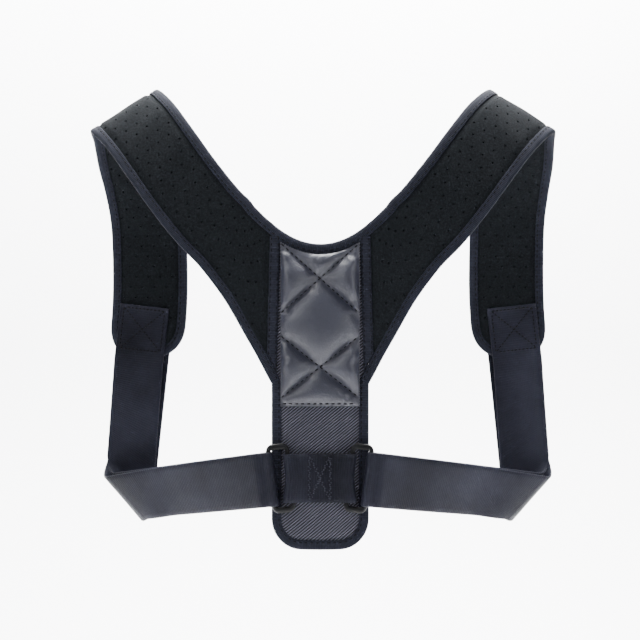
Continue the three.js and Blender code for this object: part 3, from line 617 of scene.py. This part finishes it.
def sagged(x, z):
    """The tongue's end bulges down a little at its middle."""
    share = (2 * TONGUE_CORNER - TONGUE_DROP - z) / (2 * TONGUE_CORNER)
    return z - TONGUE_SAG * soft_step(share) * (1 - (2 * x / PANEL_WIDTH) ** 2)


def on_panel(x, z):
    """A point of the panel's middle surface."""
    return Vector((x, BACK_PLANE, sagged(x, z)))


def neckline_points():
    """The neckline's edge between the bands."""
    reach = SEAM_HALF_TOP * NECK_TAPE_REACH
    return [on_panel(x, neck_height(x)) for x in np.linspace(-reach, reach, 28)]


def tongue_points():
    """The tongue's edge: down one side, round its corners and up the other."""
    half = PANEL_WIDTH / 2
    inner = half - TONGUE_CORNER
    top, below = -SEAM_FOOT_DROP - FOOT_BLEND, -TONGUE_DROP + TONGUE_CORNER
    angles = [i / 14 * math.pi / 2 for i in range(15)]
    corner = [(TONGUE_CORNER * (1 - math.cos(a)), TONGUE_CORNER * (1 - math.sin(a))) for a in angles]
    points = [on_panel(-half, z) for z in np.linspace(top, below, 30)[:-1]]
    points += [on_panel(inset - half, rise - TONGUE_DROP) for inset, rise in corner]
    points += [on_panel(x, -TONGUE_DROP) for x in np.linspace(-inner, inner, 12)[1:-1]]
    points += [on_panel(half - inset, rise - TONGUE_DROP) for inset, rise in reversed(corner)]
    return points + [on_panel(half, z) for z in np.linspace(below, top, 30)[1:]]


def path_lengths(points):
    """How far along a line each of its points lies."""
    lengths = [0.0]
    for a, b in zip(points, points[1:]):
        lengths.append(lengths[-1] + (b - a).length)
    return lengths


def edge_tape(path, name):
    """Folded tape: a rounded fold over the edge, with a slightly wavy inner edge on each face."""
    fabric = Fabric()
    lengths = path_lengths([entry[0] for entry in path])
    inside, fold_end = HALF_TAPE - TAPE_THICKNESS, TAPE_THICKNESS + 0.6
    fold_depth, flank = 1.7, 3.4
    fold = [(fold_depth - fold_depth * math.cos(a), HALF_TAPE * math.sin(a))
            for a in (math.radians(d) for d in range(70, -71, -20))]
    rows = []
    for (point, inwards, outer), length in zip(path, lengths):
        ripple = 0.12 * math.sin(length * 1.1) + 0.08 * math.sin(length * 2.3)
        flap = [(EDGE_TAPE_WIDTH + ripple, HALF_TAPE - 0.25), (EDGE_TAPE_WIDTH - 0.5, HALF_TAPE - 0.03),
                (EDGE_TAPE_WIDTH - EDGE_TAPE_SEAM, HALF_TAPE - 0.28), (flank, HALF_TAPE + 0.12)]
        outline = flap + fold + [(inset, -height) for inset, height in reversed(flap)]
        outline += [(EDGE_TAPE_WIDTH, -inside), (fold_end, -inside)]
        outline += [(fold_end, inside), (EDGE_TAPE_WIDTH, inside)]
        rows.append([fabric.add(point + inwards * inset + outer * height, (4 * height + inset, length))
                     for inset, height in outline])
    fabric.tube(rows)
    tape = fabric.piece(name, "tape", [name])


def stitch_row(fabric, points, normals=None, thickness=0.42, length=STITCH_LENGTH, gap=STITCH_GAP,
               lift=0.1):
    """Lays short thread stitches along a line, sunk at their ends. Without normals they face backwards."""
    lengths = path_lengths(points)
    table = np.array([tuple(p) for p in points])
    facing = np.array([tuple(n) for n in normals or [BACKWARD] * len(points)])

    def at(distance):
        place = [float(np.interp(distance, lengths, table[:, k])) for k in range(3)]
        normal = [float(np.interp(distance, lengths, facing[:, k])) for k in range(3)]
        return Vector(place), Vector(normal).normalized()

    pitch = length + gap
    for n in range(int(lengths[-1] // pitch)):
        start = n * pitch + gap / 2
        rings = []
        first, last = at(start)[0], at(start + length)[0]
        run = (last - first).normalized()
        for share, size, sink in STITCH_SHAPE:
            place, normal = at(start + length * share)
            across = run.cross(normal).normalized()
            centre = place + normal * (lift - sink * thickness)
            rings.append([fabric.add(centre + across * (math.cos(a) * thickness * size)
                                     + normal * (math.sin(a) * thickness * size), (a, share))
                          for a in (math.radians(60 * k) for k in range(6))])
        fabric.tube(rings)


def tape_stitches(path, name):
    """The seam near the tape's inner edge, on both faces."""
    fabric = Fabric()
    inset = EDGE_TAPE_WIDTH - EDGE_TAPE_SEAM
    for sign in (1, -1):
        points = [p + inwards * inset + outer * (sign * (HALF_TAPE - 0.25)) for p, inwards, outer in path]
        stitch_row(fabric, points, [outer * sign for _, _, outer in path])
    fabric.piece(name, "tape", [], "thread")


def panel_half_width(z, inset):
    """Half the centre panel's width at a height, without the bands."""
    half = PANEL_WIDTH / 2 - inset
    if z > -SEAM_FOOT_DROP:
        share = (-NECK_DROP - z) / (SEAM_FOOT_DROP - NECK_DROP)
        return SEAM_HALF_TOP + (half + inset - SEAM_HALF_TOP) * clamp(share)
    if z > -SEAM_FOOT_DROP - FOOT_EASE:
        return half + inset * soft_step((z + SEAM_FOOT_DROP + FOOT_EASE) / FOOT_EASE)
    low = -TONGUE_DROP + inset
    corner = max(TONGUE_CORNER - inset, 1)
    if z >= low + corner:
        return half
    fall = min(low + corner - z, corner)
    return half - corner + math.sqrt(max(corner ** 2 - fall ** 2, 0))


def spine_panel():
    """The twill column and tongue, padded, thin under the edge tape."""
    fabric = Fabric()
    columns, rows_count = 36, 120
    inset = EDGE_INSET
    low = -TONGUE_DROP + inset
    sides = {}
    for sign in (-1, 1):
        rows = []
        for i in range(rows_count + 1):
            share = i / rows_count
            row = []
            for j in range(columns + 1):
                spread = 2 * j / columns - 1
                x_head = spread * SEAM_HALF_TOP
                head = neck_height(x_head) - inset
                z = head + (low - head) * share
                x = spread * panel_half_width(z, inset)
                edge = min(panel_half_width(z, inset) - abs(x), z - low, head - z)
                padding = soft_step((edge - HEM_MARGIN + inset) / HEM_SLOPE)
                height = HALF_HEM + (HALF_PAD - HALF_HEM) * padding
                row.append(fabric.add((x, BACK_PLANE + sign * height, sagged(x, z)), (x, z)))
            rows.append(row)
        fabric.grid(rows)
        sides[sign] = rows
    for edge in (0, columns):
        fabric.grid([[row[edge] for row in sides[-1]], [row[edge] for row in sides[1]]])
    for edge in (0, -1):
        fabric.grid([sides[-1][edge], sides[1][edge]])
    panel = fabric.piece("spine_panel", "twill", ["spine_panel"])


def quilt_head(x):
    """Height of the cover's upper edge at x, below the neckline's tape."""
    slope = math.atan(8 * NECK_SAG * x / PANEL_WIDTH ** 2)
    return neck_height(x) - (EDGE_TAPE_WIDTH + CLEARANCE) / math.cos(slope)


def quilt_creases():
    """Start and end of each stitched line of the crosses."""
    height = quilt_head(0) + QUILT_FOOT
    creases = []
    for middle, half_rise in QUILT_CROSSES:
        for lean in (-1, 1):
            left, right = (quilt_head(0) - (middle + end * lean * half_rise) * height for end in (-1, 1))
            creases.append((Vector((-QUILT_HALF, left)), Vector((QUILT_HALF, right))))
    return creases


def beside(distance, middle, width):
    """Near 1 at the middle distance from a seam, falling to 0 away from it."""
    return math.exp(-((distance - middle) / width) ** 2)


def wave(place, beat, sway, drift, phase=0.0):
    """A wave along a seam, with a beat that sways as it goes."""
    return math.sin(place * beat + sway * math.sin(place * drift) + phase)


def quilt_rise(x, z, creases):
    """How far the quilted cover stands off the panel: pulled in at stitch lines, gathered beside them."""
    point = Vector((x, z))
    side = QUILT_HALF - abs(x)
    end = min(quilt_head(x) - z, z + QUILT_FOOT)
    nearest, run, rise = math.inf, 0.0, 1.0
    for start, finish in creases:
        way = finish - start
        share = clamp((point - start).dot(way) / way.length_squared)
        distance = (point - (start + way * share)).length
        rise *= 1 - math.exp(-distance / CREASE_REACH)
        if distance < nearest:
            nearest, run = distance, share * way.length
    rise *= 1 - math.exp(-max(side, 0) / SIDE_REACH)
    rise *= 1 - math.exp(-max(end, 0) / END_REACH)
    pull = max(min(nearest, side, end), 0)
    gather = GATHER * beside(nearest, 3, 2.6) * wave(run, 0.62, 2.1, 0.19)
    pucker = PUCKER * beside(side, 3, 4) * wave(z, 0.38, 1.1, 0.17, x * 0.05)
    hem = HEM_WAVE * beside(end, 2.5, 2.5) * wave(x, 0.8, 1.4, 0.21)
    broad = BROAD_WAVE * math.sin(x * 0.13 + 0.6) * math.sin(z * 0.1)
    return QUILT_BASE + QUILT_PUFF * rise + (gather + pucker + hem + broad) * min(pull / 1.5, 1)


def quilted_panel():
    """The puffed cover, and the stitches that pull it in."""
    fabric = Fabric()
    creases = quilt_creases()
    columns, rows_count = 96, 192
    seat = BACK_FACE - CLEARANCE
    rows = []
    for i in range(rows_count + 1):
        row = []
        for j in range(columns + 1):
            x = QUILT_HALF * (2 * j / columns - 1)
            z = quilt_head(x) + (-QUILT_FOOT - quilt_head(x)) * i / rows_count
            row.append(fabric.add((x, seat - quilt_rise(x, z, creases), z), (x, z)))
        rows.append(row)
    fabric.grid(rows)
    rim = rows[0] + [row[-1] for row in rows[1:]] + rows[-1][-2::-1] + [row[0] for row in rows[-2:0:-1]]
    base = [fabric.add((fabric.points[n][0], seat, fabric.points[n][2]), fabric.cloth[n]) for n in rim]
    fabric.grid([rim, base], closed_columns=True)
    fabric.face(*base)
    cover = fabric.piece("quilted_panel", "quilted", ["quilted_panel"])

    stitches = Fabric()
    foot = -QUILT_FOOT + FOOT_SEAM
    foot_line = (Vector((-QUILT_HALF + 1, foot)), Vector((QUILT_HALF - 1, foot)))
    for start, end in creases + [foot_line]:
        points = []
        for share in np.linspace(0, 1, 90):
            x, z = start.lerp(end, share)
            if z < quilt_head(x) - 0.5:
                points.append(Vector((x, seat - quilt_rise(x, z, creases) - 0.1, z)))
        stitch_row(stitches, points, thickness=0.45, length=2.9, gap=1.6, lift=0.15)
    stitches.piece("quilt_stitches", "quilted", [], "thread")


def seam_tape(side, name, outer_path):
    """Flat tape over the joint of panel and band, with a stitch line near each of its edges."""
    head_x, foot_x = SEAM_HALF_TOP, PANEL_WIDTH / 2
    face = BACK_PLANE - HALF_TAPE
    top, foot = neck_height(head_x) - EDGE_TAPE_WIDTH - 0.6, -SEAM_FOOT_DROP + SEAM_TAPE_STOP
    half = SEAM_TAPE_WIDTH / 2
    fabric = Fabric()
    rows = []
    # Towards its foot the tape is cut off where the outer edge's tape begins
    rim_points = [p + inwards * (EDGE_TAPE_WIDTH + CLEARANCE) for p, inwards, _ in outer_path
                  if p.x * side > 0 and p.y < BACK_PLANE + 0.3 and p.z > -SEAM_FOOT_DROP - 3 * FOOT_EASE]
    rim = sorted((p.z, p.x * side) for p in rim_points)
    rim_z, rim_x = zip(*rim)
    ribs = [(0, 0.75), (0.06, 0.08), (0.17, 0.12), (0.3, -0.1), (0.5, -0.16), (0.7, -0.1), (0.83, 0.12),
            (0.94, 0.08), (1, 0.75)]
    for z in np.linspace(top, foot, 60):
        centre = head_x + (foot_x - head_x) * (top - z) / (SEAM_FOOT_DROP - NECK_DROP)
        limit = float(np.interp(z, rim_z, rim_x))
        inner = centre - half
        width = max(min(centre + half, limit) - inner, SEAM_TAPE_LEAST)
        rows.append([fabric.add((side * (inner + width * share), face + depth, z), (width * share, z))
                     for share, depth in ribs])
    fabric.tube(rows)
    tape = fabric.piece(name, "tape", [name])
    (top - foot) / 1000
    stitches = Fabric()
    for place in (2, 6):
        points = [Vector(fabric.points[row[place]]) for row in rows]
        stitch_row(stitches, points, thickness=0.4)
    stitches.piece(name + "_stitches", "tape", [], "thread")


def keeper_webbing():
    """Short webbing sewn flat in its middle, its ends looped round the inner bars."""
    eye = RING_BAR / 2 + RING_LIFT / 2 + CLEARANCE / 2
    middle_depth = KEEPER_SEAT - BAR_FORE
    flat_half = INNER_BAR * KEEPER_FLAT
    half = KEEPER_THICKNESS / 2
    radius = eye + half
    line = [(x, half) for x in np.linspace(flat_half, INNER_BAR, 10)]
    line += [(INNER_BAR + radius * math.sin(a), middle_depth - radius * math.cos(a))
             for a in np.linspace(0.1, math.pi - 0.1, 20)]
    outermost = middle_depth + radius
    line += [(INNER_BAR * (1 - s) + flat_half * s, outermost - (outermost - 3 * half) * soft_step(s))
             for s in np.linspace(0, 1, 14)]
    loop = line + [(x, 3 * half) for x in np.linspace(flat_half, -flat_half, 16)[1:-1]]
    loop += [(-x, depth) for x, depth in reversed(line)]
    loop += [(x, half) for x in np.linspace(-flat_half, flat_half, 16)[1:-1]]
    fabric = Fabric()
    skins = []
    lengths = path_lengths([Vector(p) for p in loop])
    for sign in (1, -1):
        rows = []
        for i, (x, depth) in enumerate(loop):
            before, after = Vector(loop[i - 1]), Vector(loop[(i + 1) % len(loop)])
            way = (after - before).normalized()
            normal = Vector((way.y, -way.x))
            px = x + sign * normal.x * half * KEEPER_SKIN
            pd = depth + sign * normal.y * half * KEEPER_SKIN
            row = []
            for w in np.linspace(-1, 1, 13):
                z = w * KEEPER_WIDTH / 2
                share = clamp((abs(px) - flat_half) / (KEEPER_LOOP * INNER_BAR - flat_half))
                lean = math.copysign(share * z * math.tan(RING_TILT), px)
                row.append(fabric.add((px + lean, KEEPER_SEAT - pd, z - RING_DROP), (z, lengths[i])))
            rows.append(row)
        fabric.grid(rows, closed_rows=True)
        skins.append(rows)
    for edge in (0, -1):
        fabric.grid([[row[edge] for row in skins[0]], [row[edge] for row in skins[1]]], closed_columns=True)
    keeper = fabric.piece("keeper_webbing", "webbing", ["keeper_webbing"])
    stitches = Fabric()
    face = KEEPER_SEAT - 4 * half - 0.2
    wide, high = flat_half * 0.98, KEEPER_WIDTH / 2 - 2.2

    def zigzag(start, end):
        points = []
        for k in range(19):
            x, z = start.lerp(end, k / 18)
            points.append(Vector((x + (ZIGZAG if k % 2 else -ZIGZAG), face, z - RING_DROP)))
        stitch_row(stitches, points, thickness=0.5, length=1.5, gap=0.6)

    for side in (-1, 1):
        zigzag(Vector((side * wide * 0.86, -high)), Vector((side * wide * 0.86, high)))
    for lean in (-1, 1):
        zigzag(Vector((-wide * 0.8, -lean * high)), Vector((wide * 0.8, lean * high)))
    # These stitches take the pale thread colour, a painted highlight.
    stitches.piece("keeper_stitches", "webbing", [], "thread with painted highlight")


def ring(side, name):
    """Rectangular ring of slightly flattened bar."""
    half_span, half_height = (RING_SPAN - RING_BAR) / 2, (RING_HEIGHT - RING_BAR) / 2
    lean_cos, lean_sin = math.cos(side * RING_TILT), math.sin(side * RING_TILT)
    fabric = Fabric()
    rows = []
    for sx, sz, quarter in ((1, 1, 0), (-1, 1, 1), (-1, -1, 2), (1, -1, 3)):
        for i in range(11):
            angle = (quarter + i / 10) * math.pi / 2
            reach = Vector((math.cos(angle), 0, math.sin(angle)))
            centre = Vector((sx * (half_span - RING_CORNER), 0, sz * (half_height - RING_CORNER)))
            centre += reach * RING_CORNER
            row = []
            for k in range(20):
                a = math.radians(18 * k + 9)
                c, s = (math.copysign(abs(v) ** BAR_SQUARENESS, v) for v in (math.cos(a), math.sin(a)))
                swell = Vector((0, 0, reach.z * max(math.cos(a), 0) * RING_END_SWELL))
                point = centre + reach * (c * RING_BAR / 2) + swell + BACKWARD * (s * RING_BAR / 2)
                x = point.x * lean_cos + point.z * lean_sin
                z = point.z * lean_cos - point.x * lean_sin
                row.append(fabric.add((x + side * RING_PLACE, point.y + BAR_FORE, z - RING_DROP), (k, i)))
            rows.append(row)
    fabric.grid(rows, closed_rows=True, closed_columns=True)
    fabric.piece(name, "plastic", [name])


def frame_of(place, along, face):
    """A frame on the webbing: its place, its turn (x along, y out of its face, z across) and its slant."""
    run = along.normalized()
    outer = (face - run * face.dot(run)).normalized()
    across = run.cross(outer)
    turn = Matrix((run, outer, across)).transposed().to_quaternion()
    return (place.copy(), turn, 0.0)


def run_of(f):
    return f[1] @ Vector((1, 0, 0))


def face_of(f):
    return f[1] @ Vector((0, 1, 0))


def across_of(f):
    return f[1] @ Vector((0, 0, 1))


def shifted(f, rise, drift):
    """The frame moved out from its face and sideways."""
    return (f[0] + face_of(f) * rise + across_of(f) * drift, f[1], f[2])


def bend(start, end_turn, radius, steps):
    """Frames of webbing that bends from a start to a turn, round one axis, creased aslant where it must."""
    turn = start[1]
    between = end_turn @ turn.inverted()
    if between.w < 0:
        between = -between
    angle = 2 * math.acos(min(between.w, 1))
    axis = Vector((between.x, between.y, between.z)).normalized()
    climb = abs(axis.dot(run_of(start)))
    step = radius * angle / math.sqrt(max(1 - climb * climb, LEAST_SLANT)) / steps
    slant = axis.dot(run_of(start)) / axis.dot(across_of(start))
    frames = [(start[0].copy(), turn, slant)]
    place = start[0].copy()
    for i in range(1, steps + 1):
        place = place + turn.slerp(end_turn, (i - 0.5) / steps) @ Vector((1, 0, 0)) * step
        frames.append((place.copy(), turn.slerp(end_turn, i / steps), slant))
    return frames


def inner_layer(tip_near):
    """The webbing from its sewn end, down, round under the arm and to the ring, in named stretches."""
    down = Vector((math.sin(PATCH_LEAN), 0, -math.cos(PATCH_LEAN)))
    forward = Vector((0, 1, 0))
    seat = tip_near - HALF_TAPE - CLEARANCE - WEBBING_THICKNESS / 2
    top = Vector((FRONT_ROWS[-2][0] * SHOULDER_REACH + PATCH_OFFSET, seat, -PATCH_DROP))
    leaving = top + down * ((BAND_FRONT_DROP - PATCH_DROP + CLEARANCE) / math.cos(PATCH_LEAN))
    turn_start = Vector((TURN_REACH, TURN_FORE, -TURN_DROP))
    down_frame = frame_of(turn_start, turn_start - leaving, forward)
    home = Vector((-math.cos(RING_TILT), 0, math.sin(RING_TILT)))
    behind_bar = BAR_FORE + RING_BAR / 2 + CLEARANCE + WEBBING_THICKNESS / 2
    bar = Vector((RING_PLACE + math.cos(RING_TILT) * (OUTER_BAR - RING_PLACE), behind_bar,
                  -RING_DROP - math.sin(RING_TILT) * (OUTER_BAR - RING_PLACE)))
    home_frame = frame_of(bar, home, BACKWARD)
    elbow = bar - home * (ELBOW_REACH - OUTER_BAR)
    way_back = (elbow - turn_start).normalized()
    for _ in range(12):
        face = across_of(home_frame).cross(way_back)
        tilted = Quaternion(way_back, -BACK_TILT) @ face
        turning = bend(down_frame, frame_of(turn_start, way_back, tilted)[1], TURN_RADIUS, 36)
        way_back = (elbow - turning[-1][0]).normalized()
    setback = ELBOW_RADIUS * way_back.angle(home) / 2
    elbow_start = frame_of(elbow - way_back * setback, way_back, across_of(home_frame).cross(way_back))
    last = turning[-1]
    back = []
    steps = 25
    for i in range(1, steps):
        share = i / steps
        back.append((last[0].lerp(elbow_start[0], share), last[1].slerp(elbow_start[1], share),
                     last[2] * max(1 - 3 * share, 0)))
    return [
        ("patch", [frame_of(top, down, forward), frame_of(leaving, down, forward)]),
        ("turn", turning),
        ("back", back),
        ("elbow", bend(elbow_start, home_frame[1], ELBOW_RADIUS, 8)),
        ("bar", [home_frame]),
    ], home_frame


def filled(frames, longest=5.0):
    """Adds frames where two lie far apart, easing from one to the other."""
    made = [frames[0]]
    for a, b in zip(frames, frames[1:]):
        count = int((b[0] - a[0]).length // longest)
        for i in range(1, count + 1):
            share = i / (count + 1)
            made.append((a[0].lerp(b[0], share), a[1].slerp(b[1], share), a[2] + (b[2] - a[2]) * share))
        made.append(b)
    return made


def outer_layer(stages, home_frame, bar_rise, tip_rise):
    """The webbing's way back from the ring, over the inner layer, in the inner layer's order."""
    back_rise = WEBBING_THICKNESS + LAYER_GAP
    turn_rise = WEBBING_THICKNESS + TURN_GAP
    rises = {"patch": (tip_rise, -RETURN_SHIFT), "turn": (turn_rise, 0), "back": (back_rise, 0),
             "elbow": (back_rise, 0), "bar": (bar_rise, 0)}
    outer = []
    for stage, frames in stages:
        for i, f in enumerate(frames):
            rise, drift = rises[stage]
            if stage == "back":
                rise += (turn_rise - back_rise) * (1 - soft_step(i / 8))
            outer.append(shifted(f, rise, drift))
    elbow_end = stages[-2][1][-1]
    bar_side = elbow_end[0].lerp(home_frame[0], BAR_APPROACH)
    outer.insert(-1, shifted((bar_side, home_frame[1], 0.0), PARTED_SHARE * bar_rise, 0))
    return outer


def round_bar(home_frame, bar_rise):
    """The webbing's half turn round the ring's outer bar."""
    radius = bar_rise / 2
    face, run = face_of(home_frame), run_of(home_frame)
    centre = home_frame[0] + face * radius
    wrap = []
    for i in range(1, 18):
        angle = i / 18 * math.pi
        place = centre - face * (radius * math.cos(angle)) + run * (radius * math.sin(angle))
        wrap.append((place, Quaternion(across_of(home_frame), angle) @ home_frame[1], 0.0))
    return wrap


def long_webbing(side, name, near, far):
    """The long strap: down from its sewn end, through the ring and back over itself to the hook patch."""
    stages, home_frame = inner_layer(near)
    inner = [f for _, frames in stages for f in frames]
    bar_rise = RING_BAR + 2 * CLEARANCE + WEBBING_THICKNESS
    tip_rise = far - near + 2 * HALF_TAPE + 3 * CLEARANCE + HOOK_THICKNESS + WEBBING_THICKNESS
    outer = outer_layer(stages, home_frame, bar_rise, tip_rise)
    half_turn = Quaternion((0, 0, 1), math.pi)
    returning = [(p, turn @ half_turn, -slant) for p, turn, slant in reversed(outer)]
    frames = filled(inner) + round_bar(home_frame, bar_rise) + filled(returning)
    half_thick, half_wide = WEBBING_THICKNESS / 2, WEBBING_WIDTH / 2
    flat = np.linspace(-FLAT_SHARE, FLAT_SHARE, 13)
    outline = [(half_thick, -w) for w in flat] + [(0, -1)] + [(-half_thick, w) for w in flat] + [(0, 1)]
    fabric = Fabric()
    rows = []
    lengths = path_lengths([f[0] for f in frames])
    for f, length in zip(frames, lengths):
        cross = across_of(f) + run_of(f) * f[2]
        waver = WAVER * math.sin(length * 0.071 + side) * min(1, abs(length - RING_LENGTH) / WAVER_EASE)
        row = []
        for rise, sway in outline:
            cup = CUP * math.cos(sway * math.pi * 1.5) if rise else 0
            point = f[0] + face_of(f) * (rise + waver * 0.5 + cup * 0.5) + cross * (sway * half_wide)
            point.x *= side
            row.append(fabric.add(point, (sway * half_wide + (0.3 if rise > 0 else 0), length)))
        rows.append(row)
    fabric.tube(rows)
    strap = fabric.piece(name, "webbing", [name])
    box_stitches(side, name + "_stitches", inner[0])


def box_stitches(side, name, sewn):
    """The crossed box that sews the webbing to the tip."""
    half, high, low = SEWN_BOX
    depth = -WEBBING_THICKNESS / 2 - 0.05
    corners = [Vector((-half, high)), Vector((half, high)), Vector((half, low)), Vector((-half, low))]
    lines = [(corners[i], corners[(i + 1) % 4]) for i in range(4)]
    lines += [(corners[0], corners[2]), (corners[1], corners[3])]
    stitches = Fabric()
    for start, end in lines:
        points = []
        for share in np.linspace(0, 1, 12):
            across, down = start.lerp(end, share)
            point = sewn[0] + run_of(sewn) * down + across_of(sewn) * across + face_of(sewn) * depth
            point.x *= side
            points.append(point)
        stitch_row(stitches, points, thickness=0.5, length=2.3, gap=0.8)
    stitches.piece(name, "webbing", [], "thread")


def hook_patch(side, name, far):
    """Plain closure patch under the webbing's end on the tip's far face."""
    low = far + HALF_TAPE + CLEARANCE
    down = Vector((math.sin(PATCH_LEAN), 0, -math.cos(PATCH_LEAN)))
    right = Vector((math.cos(PATCH_LEAN), 0, math.sin(PATCH_LEAN)))
    reach = BAND_FRONT_DROP - PATCH_DROP - PATCH_RISE - HOOK_LENGTH / 2
    middle = FRONT_ROWS[-2][0] * SHOULDER_REACH + PATCH_OFFSET - RETURN_SHIFT
    centre = Vector((middle, 0, -PATCH_DROP)) + down * reach
    fabric = Fabric()
    layers = []
    high, edge = low + HOOK_THICKNESS, 0.3
    for inset, y in ((edge, low), (0, low + edge), (0, high - edge), (edge, high)):
        w, h = WEBBING_WIDTH / 2 - PATCH_MARGIN - inset, HOOK_LENGTH / 2 - inset
        corners = []
        for a, b in ((-1, -1), (1, -1), (1, 1), (-1, 1)):
            point = centre + right * (a * w) + down * (b * h)
            corners.append(fabric.add((point.x * side, y, point.z), (a * w, b * h)))
        layers.append(corners)
    fabric.tube(layers)
    patch = fabric.piece(name, "hook", [name])


sections = {side: arm_pad(side, name) for side, name in ((-1, "arm_pad_left"), (1, "arm_pad_right"))}
neck_path = squared(list(reversed(band_edge(sections[-1], "neck"))) + panel_edge(neckline_points())
                    + band_edge(sections[1], "neck"))
outer_path = squared(list(reversed(band_edge(sections[-1], "rim"))) + panel_edge(tongue_points())
                     + band_edge(sections[1], "rim"))
edge_tape(neck_path, "neck_binding")
edge_tape(outer_path, "outer_binding")
tape_stitches(neck_path, "neck_binding_stitches")
tape_stitches(outer_path, "outer_binding_stitches")
spine_panel()
quilted_panel()
tip_edges = [y for s in sections[1] if s.middle.y > 0 and s.middle.z < -PATCH_DROP + TIP_LENGTH / 3
             for y in (s.neck.y, s.rim.y)]
for side, word in ((-1, "left"), (1, "right")):
    seam_tape(side, "seam_tape_" + word, outer_path)
    ring(side, "ring_" + word)
    long_webbing(side, "strap_" + word, min(tip_edges), max(tip_edges))
    hook_patch(side, "hook_patch_" + word, max(tip_edges))
keeper_webbing()


def backdrop():
    """A pale floor that curves up behind."""
    fabric = Fabric()
    floor_z, curve_start, curve, top = -900, 600, 700, 3500
    profile = [(-2500, floor_z), (curve_start, floor_z)]
    profile += [(curve_start + curve * math.sin(a), floor_z + curve - curve * math.cos(a))
                for a in np.linspace(0.1, math.pi / 2, 16)]
    profile += [(curve_start + curve, top)]
    rows = [[fabric.add((x, y, z)) for x in (-4000, 4000)] for y, z in profile]
    mesh = bpy.data.meshes.new("floor")
    fabric.grid(rows)
    mesh.from_pydata([tuple(c / 1000 for c in p) for p in fabric.points], [], fabric.faces)
    mesh.polygons.foreach_set("use_smooth", [True] * len(mesh.polygons))
    floor = bpy.data.objects.new("floor", mesh)
    paper = Finish("pale paper", 0.9)
    paper.shader.inputs["Base Color"].default_value = (0.86, 0.86, 0.87, 1)
    mesh.materials.append(paper.material)
    bpy.context.scene.collection.objects.link(floor)


def area_light(name, place, target, size, power):
    """A square lamp that faces its target."""
    light = bpy.data.lights.new(name, "AREA")
    light.shape = "SQUARE"
    light.size = size
    light.energy = power
    made = bpy.data.objects.new(name, light)
    made.location = place
    made.rotation_euler = (Vector(target) - Vector(place)).to_track_quat("-Z", "Y").to_euler()
    bpy.context.scene.collection.objects.link(made)


backdrop()
area_light("overhead", (-0.5, -0.5, 1.4), LIT_PLACE, 0.7, 30)
area_light("left front", (-1.2, -1.5, 0.4), LIT_PLACE, 0.6, 30)
area_light("right front", (1.3, -1.6, 0.1), LIT_PLACE, 0.8, 24)
area_light("backdrop light", (0, 0.8, 1.5), (0, 1.5, -0.2), 2.0, 760)

world = bpy.data.worlds.new("studio")
world.use_nodes = True
sky = world.node_tree.nodes["Background"]
sky.inputs["Color"].default_value = (0.95, 0.97, 1.0, 1)
sky.inputs["Strength"].default_value = 0.16
bpy.context.scene.world = world

camera = bpy.data.cameras.new("camera")
camera.sensor_width = CAMERA_SENSOR
camera.lens = CAMERA_LENS
camera.shift_x = -CAMERA_SIDE * CAMERA_LENS / CAMERA_SENSOR / CAMERA_RANGE
eye = bpy.data.objects.new("camera", camera)
eye.location = (CAMERA_SIDE, -CAMERA_BACK, CAMERA_HEIGHT)
eye.rotation_euler = (math.pi / 2, 0, 0)
bpy.context.scene.collection.objects.link(eye)
bpy.context.scene.camera = eye
